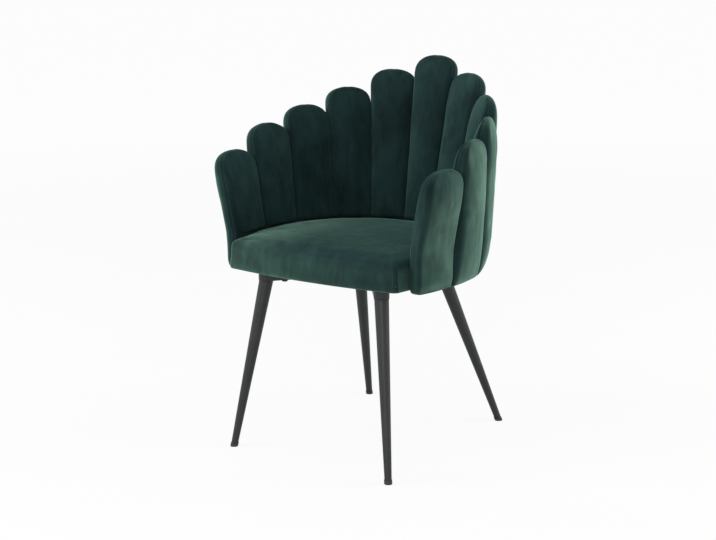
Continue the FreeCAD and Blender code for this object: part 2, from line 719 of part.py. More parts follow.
def seat_nodes():
    """Foam, velvet cover and dust cover of the seat."""
    inner = seat_form(COVER_THICKNESS)
    top = SEAT_BOTTOM_Z + SEAT_EDGE_HEIGHT + SEAT_CROWN
    foam = seat_slab(inner, BOARD_TOP_Z, top)
    cover = seat_form(0).cut(inner)
    for hole in all_screws(rail_screw_axes, RAIL_SCREW_LENGTH, SCREW_CLEARANCE):
        cover = cover.cut(hole)
    dust = seat_prism(DUST_COVER_MARGIN, DUST_COVER_Z, SEAT_BOTTOM_Z)
    for place in bolt_places():
        pocket = cylinder(NUT_FLANGE_RADIUS + BOLT_CLEARANCE, NUT_FLANGE_THICKNESS + BOLT_CLEARANCE,
                          Vector(place.x, place.y, BOARD_TOP_Z), UP)
        foam = foam.cut(pocket).cut(mirrored(pocket))
        hole = cylinder(BOLT_RADIUS + BOLT_CLEARANCE, DUST_COVER_THICKNESS + 2 * OVERRUN,
                        Vector(place.x, place.y, DUST_COVER_Z - OVERRUN), UP)
        dust = dust.cut(hole).cut(mirrored(hole))
    return {"seat_foam": foam, "seat_cover": cover, "dust_cover": dust}


def leg_nodes():
    """Legs, plates, glides, bolts and tee nuts."""
    nodes = {}
    for row in LEGS:
        for name, make in (("leg", make_leg), ("leg_plate", make_plate), ("foot_glide", make_glide)):
            shape = make(row)
            nodes[f"{name}_{row}_right"] = shape
            nodes[f"{name}_{row}_left"] = mirrored(shape)
    for name, make in (("leg_bolts", make_bolt), ("leg_tee_nuts", make_tee_nut)):
        right = [make(place) for place in bolt_places()]
        nodes[name] = Part.makeCompound(right + [mirrored(shape) for shape in right])
    return nodes


def build():
    """All nodes by name, moved so that the origin is under the middle of the outer box."""
    nodes = pad_nodes(well_cutter())
    nodes.update(frame_nodes())
    nodes.update(seat_nodes())
    nodes.update(leg_nodes())
    boxes = [shape.optimalBoundingBox(False, False) for shape in nodes.values()]
    front = min(box.YMin for box in boxes)
    back = max(box.YMax for box in boxes)
    for shape in nodes.values():
        shape.translate(Y_AXIS * (-(front + back) / 2))
    return nodes


def main():
    """Write one file for each node."""
    os.makedirs("parts", exist_ok=True)
    for name, shape in sorted(build().items()):
        if not shape.isValid() or shape.Volume <= 0:
            print("unsound", name, shape.isValid(), shape.Volume)
        shape.exportStep(f"parts/{name}.step")


main()
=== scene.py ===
"""Looks of an upholstered dining armchair: eleven velvet channels round a padded seat, on steel legs.

Everything is in metres, with +Z up, the chair's front towards -Y and the floor at zero.
"""
from __future__ import annotations

import json
import logging
import math
from collections.abc import Callable
from dataclasses import dataclass, field, replace
from enum import Enum
from typing import ClassVar

import bpy
import numpy as np
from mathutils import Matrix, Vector, noise


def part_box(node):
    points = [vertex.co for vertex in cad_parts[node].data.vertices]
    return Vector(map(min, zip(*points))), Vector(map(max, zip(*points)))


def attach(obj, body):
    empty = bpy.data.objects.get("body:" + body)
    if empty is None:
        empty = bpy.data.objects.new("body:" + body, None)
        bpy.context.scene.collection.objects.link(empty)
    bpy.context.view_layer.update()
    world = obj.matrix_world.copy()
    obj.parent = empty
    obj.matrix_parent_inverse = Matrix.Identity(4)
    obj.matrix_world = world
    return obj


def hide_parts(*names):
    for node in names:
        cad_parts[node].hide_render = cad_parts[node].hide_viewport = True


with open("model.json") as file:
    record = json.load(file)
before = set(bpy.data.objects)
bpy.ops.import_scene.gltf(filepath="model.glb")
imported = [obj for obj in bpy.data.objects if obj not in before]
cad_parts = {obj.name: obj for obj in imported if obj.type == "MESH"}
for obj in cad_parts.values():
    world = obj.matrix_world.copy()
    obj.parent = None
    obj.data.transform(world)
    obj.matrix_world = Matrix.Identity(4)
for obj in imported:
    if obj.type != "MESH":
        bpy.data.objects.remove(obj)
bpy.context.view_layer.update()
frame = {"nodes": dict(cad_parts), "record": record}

LOG = logging.getLogger("armchair")
BODY = "root"


class Slot(Enum):
    """Material slots of the record."""

    VELVET = "velvet"
    FOAM = "foam"
    PLYWOOD = "plywood"
    DUST_CLOTH = "dust_cloth"
    ZINC = "zinc"
    BLACK_STEEL = "black_steel"
    LEG_PAINT = "leg_paint"
    FOOT_PLASTIC = "foot_plastic"


Triple = tuple[float, float, float]


@dataclass(frozen=True)
class Grain:
    """A noise: how fine it is per metre, its octaves, how far it swirls and its scale along each axis."""

    scale: float
    detail: float
    distortion: float = 0.0
    stretch: Triple = (1.0, 1.0, 1.0)


class NodeSheet:
    """A material's node tree with short ways to add and join nodes."""

    def __init__(self, name: str) -> None:
        """Start a material with one principled shader.

        Args:
            name: the material's name.
        """
        self.material = bpy.data.materials.new(name)
        self.material.use_nodes = True
        self.tree = self.material.node_tree
        self.tree.nodes.clear()
        self.output = self.tree.nodes.new("ShaderNodeOutputMaterial")
        self.shader = self.tree.nodes.new("ShaderNodeBsdfPrincipled")
        self.join(self.shader, "BSDF", self.output, "Surface")
        self.place = self.tree.nodes.new("ShaderNodeTexCoord")

    def join(self, start: bpy.types.Node, out: str, end: bpy.types.Node, into: str | int) -> None:
        """Link one node's output to another's input."""
        self.tree.links.new(start.outputs[out], end.inputs[into])

    def set(self, **values: object) -> None:
        """Set plain values on the shader; underscores in a name stand for spaces."""
        for name, value in values.items():
            self.shader.inputs[name.replace("_", " ")].default_value = value

    def stretched(self, scale: Triple) -> bpy.types.Node:
        """Object coordinates stretched by a scale.

        Args:
            scale: the scale of each axis.

        Returns:
            The mapping node.
        """
        mapping = self.tree.nodes.new("ShaderNodeMapping")
        mapping.inputs["Scale"].default_value = scale
        self.join(self.place, "Object", mapping, "Vector")
        return mapping

    def noise(self, grain: Grain) -> bpy.types.Node:
        """A noise texture on the piece's own coordinates.

        Args:
            grain: what the noise is like.

        Returns:
            The noise node.
        """
        noise = self.tree.nodes.new("ShaderNodeTexNoise")
        noise.inputs["Scale"].default_value = grain.scale
        noise.inputs["Detail"].default_value = grain.detail
        noise.inputs["Distortion"].default_value = grain.distortion
        self.join(self.stretched(grain.stretch), "Vector", noise, "Vector")
        return noise

    def maths(self, operation: str, first: tuple[bpy.types.Node, str],
              second: tuple[bpy.types.Node, str] | float) -> bpy.types.Node:
        """Two values put together.

        Args:
            operation: what is done with them.
            first: a node and its output's name.
            second: the same, or a plain number.

        Returns:
            The node that gives the result.
        """
        node = self.tree.nodes.new("ShaderNodeMath")
        node.operation = operation
        self.join(*first, node, 0)
        if isinstance(second, float):
            node.inputs[1].default_value = second
        else:
            self.join(*second, node, 1)
        return node

    def ramp(self, source: bpy.types.Node, out: str,
             stops: tuple[tuple[float, Triple], ...]) -> bpy.types.Node:
        """Colours along a value.

        Args:
            source: the node that gives the value.
            out: its output's name.
            stops: place and colour of each stop.

        Returns:
            The ramp node.
        """
        ramp = self.tree.nodes.new("ShaderNodeValToRGB")
        while len(ramp.color_ramp.elements) < len(stops):
            ramp.color_ramp.elements.new(0.5)
        for element, (place, colour) in zip(ramp.color_ramp.elements, stops):
            element.position = place
            element.color = (*colour, 1.0)
        self.join(source, out, ramp, "Fac")
        return ramp

    def mixed(self, share: bpy.types.Node, first: bpy.types.Node, second: bpy.types.Node) -> bpy.types.Node:
        """Two ramps' colours mixed by a value.

        Args:
            share: the node that sets the second ramp's share; for the velvet, the attribute that paints light
                and shade.
            first: the first ramp.
            second: the second ramp.

        Returns:
            The mixing node.
        """
        mix = self.tree.nodes.new("ShaderNodeMix")
        mix.data_type = "RGBA"
        self.join(share, "Fac", mix, 0)
        self.join(first, "Color", mix, 6)
        self.join(second, "Color", mix, 7)
        return mix

    def ranged(self, source: bpy.types.Node, out: str, low: float, high: float) -> bpy.types.Node:
        """A value moved from 0..1 to a range.

        Args:
            source: the node with the value.
            out: its output.
            low: what 0 becomes.
            high: what 1 becomes.

        Returns:
            The range node.
        """
        ranged = self.tree.nodes.new("ShaderNodeMapRange")
        ranged.inputs["To Min"].default_value = low
        ranged.inputs["To Max"].default_value = high
        self.join(source, out, ranged, "Value")
        return ranged

    def bump(self, source: bpy.types.Node, out: str, strength: float, distance: float,
             under: bpy.types.Node | None = None) -> bpy.types.Node:
        """Relief from a value, on top of another relief if one is given.

        Args:
            source: the node with the height.
            out: its output.
            strength: the relief's strength.
            distance: its depth in metres.
            under: the relief that it lies on, if any.

        Returns:
            The bump node.
        """
        bump = self.tree.nodes.new("ShaderNodeBump")
        bump.inputs["Strength"].default_value = strength
        bump.inputs["Distance"].default_value = distance
        self.join(source, out, bump, "Height")
        if under is not None:
            self.join(under, "Normal", bump, "Normal")
        return bump


@dataclass(frozen=True)
class VelvetFinish:
    """Short-pile velvet whose base colour holds painted light: a painted sheen, dark face-on and pale at
    grazing angles, on a shaded and a lit copy of its colours.
    """

    name: str = "bottle_velvet"
    # Shaded and lit copies of the colours, as painted shade and painted light; along each, a painted sheen
    # runs from dark face-on to pale at grazing angles.
    shaded_stops: tuple[float, ...] = (0.05, 0.45, 0.88, 0.99)
    lit_stops: tuple[float, ...] = (0.03, 0.30, 0.86, 0.99)
    shaded_colours: tuple[Triple, ...] = (
        (0.0102, 0.0244, 0.0252), (0.0158, 0.0390, 0.0390),
        (0.0205, 0.0480, 0.0435), (0.0720, 0.1420, 0.1220))
    lit_colours: tuple[Triple, ...] = (
        (0.0115, 0.0280, 0.0255), (0.0300, 0.0640, 0.0530),
        (0.1150, 0.2080, 0.1640), (0.2000, 0.3150, 0.2600))
    tint: tuple[float, float, float, float] = (0.40, 0.80, 0.66, 1.0)
    cloud: Grain = Grain(9.0, 5.0, 0.9)
    strokes: Grain = Grain(46.0, 4.0, 0.6, (1.0, 1.0, 0.35))
    pile: Grain = Grain(1500.0, 2.0)
    cloud_light: tuple[float, float] = (-0.10, 1.12)
    stroke_light: tuple[float, float] = (-0.04, 1.06)
    rough: tuple[float, float] = (0.78, 0.95)
    pile_relief: tuple[float, float] = (0.35, 0.0005)
    stroke_relief: tuple[float, float] = (0.10, 0.0020)

    def build(self) -> bpy.types.Material:
        """Make the material; a per-point attribute paints light and shade by mixing the shaded colours into
        the lit ones.

        Returns:
            The material.
        """
        sheet = NodeSheet(self.name)
        # Painted sheen: the base colour follows how squarely the surface faces the camera, darker face-on and
        # paler at grazing angles.
        facing = sheet.tree.nodes.new("ShaderNodeLayerWeight")
        facing.inputs["Blend"].default_value = 0.5
        painted_light = sheet.tree.nodes.new("ShaderNodeAttribute")
        painted_light.attribute_name = "painted_light"
        shaded_ramp = sheet.ramp(facing, "Facing", tuple(zip(self.shaded_stops, self.shaded_colours)))
        lit_ramp = sheet.ramp(facing, "Facing", tuple(zip(self.lit_stops, self.lit_colours)))
        # The painted-light attribute mixes the shaded copy of the colours into the lit one.
        cloth = sheet.mixed(painted_light, shaded_ramp, lit_ramp)
        cloud, strokes, pile = (sheet.noise(grain) for grain in (self.cloud, self.strokes, self.pile))
        brushed = sheet.maths("ADD", (sheet.ranged(cloud, "Fac", *self.cloud_light), "Result"),
                              (sheet.ranged(strokes, "Fac", *self.stroke_light), "Result"))
        shade = sheet.tree.nodes.new("ShaderNodeHueSaturation")
        sheet.tree.links.new(cloth.outputs[2], shade.inputs["Color"])
        sheet.join(brushed, "Value", shade, "Value")
        sheet.join(shade, "Color", sheet.shader, "Base Color")
        sheet.join(sheet.ranged(cloud, "Fac", *self.rough), "Result", sheet.shader, "Roughness")
        fine = sheet.bump(pile, "Fac", *self.pile_relief)
        sheet.join(sheet.bump(strokes, "Fac", *self.stroke_relief, fine), "Normal", sheet.shader, "Normal")
        sheet.set(Sheen_Weight=0.20, Sheen_Roughness=0.30, Sheen_Tint=self.tint, Specular_IOR_Level=0.05)
        return sheet.material


@dataclass(frozen=True)
class GrainedFinish:
    """A surface with a broad noise in its colour and gloss, and a fine one as its relief."""

    name: str
    broad: Grain
    fine: Grain
    stops: tuple[tuple[float, Triple], ...]
    rough: tuple[float, float]
    relief: tuple[float, float]
    gloss_from_fine: bool = False
    metallic: float = 0.0
    specular: float = 0.5

    def build(self) -> bpy.types.Material:
        """Make the material.

        Returns:
            The material.
        """
        sheet = NodeSheet(self.name)
        broad = sheet.noise(self.broad)
        fine = sheet.noise(self.fine)
        sheet.join(sheet.ramp(broad, "Fac", self.stops), "Color", sheet.shader, "Base Color")
        rough = sheet.ranged(fine if self.gloss_from_fine else broad, "Fac", *self.rough)
        sheet.join(rough, "Result", sheet.shader, "Roughness")
        sheet.join(sheet.bump(fine, "Fac", *self.relief), "Normal", sheet.shader, "Normal")
        sheet.set(Metallic=self.metallic, Specular_IOR_Level=self.specular)
        return sheet.material


@dataclass(frozen=True)
class DustClothFinish:
    """Black non-woven cloth with its pressed dots."""

    name: str = "black_nonwoven"
    fibres: Grain = Grain(260.0, 5.0, 0.8)
    stops: tuple[tuple[float, Triple], ...] = ((0.3, (0.008, 0.008, 0.008)), (0.75, (0.024, 0.024, 0.025)))
    rough: tuple[float, float] = (0.75, 0.95)
    dot_scale: float = 420.0
    dot_randomness: float = 0.15
    relief: tuple[float, float] = (0.5, 0.0004)

    def build(self) -> bpy.types.Material:
        """Make the material.

        Returns:
            The material.
        """
        sheet = NodeSheet(self.name)
        fibres = sheet.noise(self.fibres)
        dots = sheet.tree.nodes.new("ShaderNodeTexVoronoi")
        dots.inputs["Scale"].default_value = self.dot_scale
        dots.inputs["Randomness"].default_value = self.dot_randomness
        sheet.join(sheet.place, "Object", dots, "Vector")
        sheet.join(sheet.ramp(fibres, "Fac", self.stops), "Color", sheet.shader, "Base Color")
        sheet.join(sheet.ranged(fibres, "Fac", *self.rough), "Result", sheet.shader, "Roughness")
        sheet.join(sheet.bump(dots, "Distance", *self.relief), "Normal", sheet.shader, "Normal")
        return sheet.material


FINE_METAL = Grain(1200.0, 2.0, 0.0, (1.0, 1.0, 0.1))
POWDER_COAT = GrainedFinish(
    "charcoal_powder_coat", Grain(22.0, 4.0, 0.2), Grain(900.0, 2.0),
    ((0.3, (0.009, 0.0112, 0.0122)), (0.75, (0.016, 0.0192, 0.0206))), (0.36, 0.48), (0.18, 0.0003),
    specular=0.42)
ZINC_PLATE = GrainedFinish(
    "zinc_plate", Grain(160.0, 4.0, 0.4), FINE_METAL,
    ((0.3, (0.42, 0.43, 0.44)), (0.7, (0.60, 0.60, 0.60))), (0.3, 0.5), (0.1, 0.0002), metallic=1.0)
BLACK_OXIDE = replace(
    ZINC_PLATE, name="black_oxide", stops=((0.3, (0.02, 0.02, 0.02)), (0.7, (0.05, 0.05, 0.05))))
MOULDED_BLACK = GrainedFinish(
    "moulded_black", Grain(60.0, 4.0, 0.3), Grain(1400.0, 2.0),
    ((0.3, (0.012, 0.012, 0.013)), (0.75, (0.026, 0.026, 0.027))), (0.5, 0.7), (0.25, 0.0003))
RAW_PLYWOOD = GrainedFinish(
    "raw_plywood", Grain(26.0, 6.0, 1.2, (1.0, 1.0, 0.12)), Grain(420.0, 3.0, 0.0, (1.0, 1.0, 0.05)),
    ((0.25, (0.34, 0.21, 0.11)), (0.5, (0.50, 0.34, 0.19)), (0.8, (0.62, 0.45, 0.27))), (0.55, 0.8),
    (0.3, 0.0004), gloss_from_fine=True)


@dataclass(frozen=True)
class PlanCurve:
    """Plan curve of the shell at one height: a round back that runs into nearly straight arms."""

    height: float
    back_y: float
    back_radius: float
    back_turn: float
    arm_radius: float
    centre_width: float
    side_width: float
    arm_width: float

    def point(self, distance: float) -> tuple[np.ndarray, float]:
        """Point at a distance from the middle towards +X, and the way that it faces.

        Args:
            distance: length along the curve from its middle.

        Returns:
            The point, and the angle that it faces.
        """
        if distance <= self.back_radius * self.back_turn:
            facing = distance / self.back_radius
            x = self.back_radius * math.sin(facing)
            y = self.back_y - self.back_radius * (1 - math.cos(facing))
        else:
            facing = self.back_turn + (distance - self.back_radius * self.back_turn) / self.arm_radius
            x = self.back_radius * math.sin(self.back_turn)
            x += self.arm_radius * (math.sin(facing) - math.sin(self.back_turn))
            y = self.back_y - self.back_radius * (1 - math.cos(self.back_turn))
            y -= self.arm_radius * (math.cos(self.back_turn) - math.cos(facing))
        return np.array([x, y]), facing

    def crease_distance(self, index: int, last: int) -> float:
        """Distance from the middle to the crease outside a channel, the last one being the arm's.

        Args:
            index: number of the channel, from the middle.
            last: number of the arm's channel.

        Returns:
            The length along the curve.
        """
        distance = self.centre_width / 2
        for channel in range(1, index + 1):
            if channel == last:
                distance += self.arm_width
            else:
                distance += self.centre_width + (self.side_width - self.centre_width) * channel / (last - 1)
        return distance

    def sagitta(self, x: np.ndarray, chord: float, facing: float) -> np.ndarray:
        """How far the curve lies outside a channel's chord, at places along it."""
        radius = self.back_radius if facing <= self.back_turn else self.arm_radius
        return (chord * chord / 4 - x * x) / (2 * radius)


@dataclass
class ShellSizes:
    """Sizes of the channelled shell.

    A pair of heights or depths is where something starts to ease in, and over what run.
    """

    low: PlanCurve = PlanCurve(0.475, 0.194, 0.254, math.radians(90), 0.9, 0.0765, 0.1124, 0.115)
    high: PlanCurve = PlanCurve(0.800, 0.254, 0.266, math.radians(65), 0.627, 0.107, 0.117, 0.122)
    bend_ease: float = 0.018
    side_channels: int = 5
    bottom_z: float = 0.398
    centre_height: float = 0.452
    height_shares: tuple[float, ...] = (1.0, 0.923, 0.832, 0.750, 0.673, 0.564)
    gap: float = 0.00003
    inner_depth: float = 0.028
    outer_depth: float = 0.028
    low_outer_depth: float = 0.042
    low_outer_shares: tuple[float, ...] = (1.0, 1.0, 1.0, 1.0, 0.9, 0.38)
    inner_flat: float = 0.012
    outer_flat: float = 0.006
    free_flat: float = 0.004
    crown_end_turn: float = math.radians(15)
    dome_rise: float = 0.050
    dome_thin_rise: float = 0.090
    dome_power: float = 3.2
    tuck_height: float = 0.110
    tuck_depth: float = 0.012
    free_corner: float = 0.009
    lip_z: float = 0.4745
    lip_radius: float = 0.006
    seat_margin: float = 0.0163
    slat_cover: float = 0.0190
    free_full: float = 0.003
    fuller: tuple[float, ...] = (0.0, 0.001, 0.003, 0.004, 0.001, 0.0055)
    seam_depth: float = 0.009
    groove: float = 0.0011
    groove_width: float = 0.0013
    pucker: float = 0.00022
    pucker_pitch: float = 0.0085
    room: float = 0.0040
    outer_room: float = 0.0030
    least_depth: float = 0.0006
    inner_draw_run: float = 0.03
    outer_draw: tuple[float, float] = (0.54, 0.07)
    arm_foot_run: float = 0.020
    arm_full: tuple[float, float] = (0.43, 0.16)
    back_full: tuple[float, float] = (0.53, 0.10)
    free_full_from: tuple[float, float] = (0.44, 0.08)
    dome_firmness: float = 0.6
    seam_firmness: float = 0.8
    seam_firm_width: float = 0.0022
    low_firmness: float = 0.6
    low_firm: tuple[float, float] = (0.475, 0.08)
    lip_loose_run: float = 0.02
    lip_step_back: float = 0.03
    # Painted light and shade on the velvet: the channels' inner sides, where shade falls inside the shell,
    # are painted dark and their backs pale, and the arm channel is painted darker towards its top.
    painted_light_least: float = 0.08
    painted_light_depth: tuple[float, float] = (-0.009, 0.030)
    arm_painted_shade: float = 0.45
    arm_painted_shade_top: tuple[float, float] = (-0.085, 0.07)
    room_low: tuple[float, float] = (0.47, 0.06)
    room_top_run: float = 0.12
    lip_share: float = 0.25
    lip_place: float = 3.0
    pucker_width: float = 0.007
    pucker_swing: tuple[float, float] = (0.7, 0.37)
    groove_start: float = 0.004
    groove_run: float = 0.01
    soft_height: float = 0.0009
    soft_scale: float = 16.0
    soft_step: float = 3.1
    fine_height: float = 0.00022
    fine_scale: float = 55.0
    fine_step: float = 1.7


class Section:
    """One level section of a channel, sampled round its two crowns and its two sides."""

    SIDE_POINTS = 6
    CORNER_POINTS = 8
    CROWN_POINTS = 14

    @staticmethod
    def arc(start: np.ndarray, middle: np.ndarray, end: np.ndarray, count: int) -> np.ndarray:
        """Points of an arc through three points, without its end.

        Args:
            start: first point.
            middle: a point on the arc.
            end: last point.
            count: how many points to give.

        Returns:
            An array of count points.
        """
        a, b = middle - start, end - start
        cross = a[0] * b[1] - a[1] * b[0]
        shares = np.arange(count) / count
        if abs(cross) < 1e-9:
            return start + shares[:, None] * b
        aa, bb = a @ a, b @ b
        centre = start + np.array([b[1] * aa - a[1] * bb, a[0] * bb - b[0] * aa]) / (2 * cross)
        first = math.atan2(*(start - centre)[::-1])
        turn = math.atan2(*(end - centre)[::-1]) - first
        turn = (turn + math.pi) % (2 * math.pi) - math.pi
        radius = np.linalg.norm(start - centre)
        angles = first + turn * shares
        return centre + radius * np.stack([np.cos(angles), np.sin(angles)], 1)

    @classmethod
    def half(cls, ends: list[tuple[float, float, float]], depth: float, full: float,
             end_turn: float) -> list[np.ndarray]:
        """Key points of one crown: flat end, corner middle, crown start, crown middle and on.

        Args:
            ends: each side's flat end in chord coordinates, and how far the flat leans outwards.
            depth: how far the crown stands out.
            full: the depth at which its end turns by end_turn.
            end_turn: how steep the crown is at its ends.

        Returns:
            Seven points.
        """
        turn = end_turn * depth / full
        chord_share = math.tan(turn / 2) / 2
        reach = [(math.cos(lean) - math.sin(turn)) / (math.cos(turn) + math.sin(lean)) for _, _, lean in ends]
        width = ends[1][0] - ends[0][0]
        weighted = reach[0] * ends[0][1] + reach[1] * ends[1][1]
        level = (depth - chord_share * (width + weighted)) / (1 - chord_share * (reach[0] + reach[1]))
        corners = []
        for (x, y, lean), inward in zip(ends, (1, -1)):
            radius = (level - y) / (math.cos(turn) + math.sin(lean))
            halfway = (math.pi / 2 - turn - lean) / 2
            corners.append((
                np.array([x + inward * radius * (math.cos(lean) - math.cos(halfway)),
                          y + radius * (math.sin(halfway) + math.sin(lean))]),
                np.array([x + inward * radius * (math.cos(lean) - math.sin(turn)), level])))
        crown = np.array([(corners[0][1][0] + corners[1][1][0]) / 2, depth])
        return [np.array(ends[0][:2]), corners[0][0], corners[0][1], crown,
                corners[1][1], corners[1][0], np.array(ends[1][:2])]

    @classmethod
    def loop(cls, inner: list[np.ndarray], outer: list[np.ndarray]) -> np.ndarray:
        """Closed loop of sampled points, first up the first side and round the outer crown.

        Args:
            inner: the seven points of the inner side.
            outer: the seven points of the outer side.

        Returns:
            The loop's points.
        """
        flip = np.array([1.0, -1.0])
        inside = [point * flip for point in inner]
        shares = (np.arange(cls.SIDE_POINTS) / cls.SIDE_POINTS)[:, None]
        return np.concatenate([
            inside[0] + shares * (outer[0] - inside[0]),
            cls.arc(outer[0], outer[1], outer[2], cls.CORNER_POINTS),
            cls.arc(outer[2], outer[3], outer[4], cls.CROWN_POINTS),
            cls.arc(outer[4], outer[5], outer[6], cls.CORNER_POINTS),
            outer[6] + shares * (inside[6] - outer[6]),
            cls.arc(inside[6], inside[5], inside[4], cls.CORNER_POINTS),
            cls.arc(inside[4], inside[3], inside[2], cls.CROWN_POINTS),
            cls.arc(inside[2], inside[1], inside[0], cls.CORNER_POINTS),
        ])


@dataclass
class Skin:
    """A closed skin of rings, with what each vertex needs to know for its sewing.

    seam is the distance to the sewn seam's plane, pinned how firmly a point is held while the skin is
    stuffed, the painted-light mark how far the velvet's colour is painted lit rather than shaded there, loose
    how freely the cloth may be uneven, and room how far a point may swell.
    """

    verts: np.ndarray
    faces: list[tuple[int, ...]]
    seam: np.ndarray
    pinned: np.ndarray
    painted_light: np.ndarray
    loose: np.ndarray
    room: np.ndarray

    def mirrored(self) -> Skin:
        """The same skin on the other side of the chair.

        Returns:
            A skin with its X turned round and its faces still outwards.
        """
        faces = [tuple(reversed(face)) for face in self.faces]
        return Skin(self.verts * np.array([-1.0, 1.0, 1.0]), faces, self.seam, self.pinned, self.painted_light,
                    self.loose, self.room)


def eased(share: float | np.ndarray) -> float | np.ndarray:
    """A smooth step from 0 to 1."""
    share = np.clip(share, 0.0, 1.0)
    return share * share * (3 - 2 * share)


def eased_over(value: float | np.ndarray, start: float, run: float) -> float | np.ndarray:
    """A smooth step along a value.

    Args:
        value: where on the way.
        start: where the step begins.
        run: how long it takes.

    Returns:
        0 before the start, 1 after the run.
    """
    return eased((value - start) / run)


def noise_at(verts: np.ndarray, scale: float, step: Triple = (0, 0, 0)) -> np.ndarray:
    """Smooth noise at each point.

    Args:
        verts: the points.
        scale: how fine the noise is, per metre.
        step: where in the noise the object lies.

    Returns:
        One value for each point.
    """
    return np.array([noise.noise(Vector(co) * scale + Vector(step)) for co in verts.tolist()])


def hump(value: float | np.ndarray, middle: float, width: float) -> float | np.ndarray:
    """A bell curve of height 1.

    Args:
        value: where on the curve.
        middle: where it is highest.
        width: where it has fallen to about a third.

    Returns:
        The curve's height.
    """
    return np.exp(-((value - middle) / width) ** 2)


def ring_faces(rings: int, columns: int) -> list[tuple[int, ...]]:
    """Faces of a tube of rings that is closed by a pole below and one above.

    Args:
        rings: number of rings, lowest first.
        columns: points in each ring.

    Returns:
        Vertex numbers of each face; the poles come after the rings.
    """
    faces: list[tuple[int, ...]] = []
    for ring in range(rings - 1):
        low, high = ring * columns, (ring + 1) * columns
        for column in range(columns):
            after = (column + 1) % columns
            faces.append((low + column, low + after, high + after, high + column))
    bottom, top = rings * columns, rings * columns + 1
    last = (rings - 1) * columns
    for column in range(columns):
        after = (column + 1) % columns
        faces.append((after, column, bottom))
        faces.append((last + column, last + after, top))
    return faces


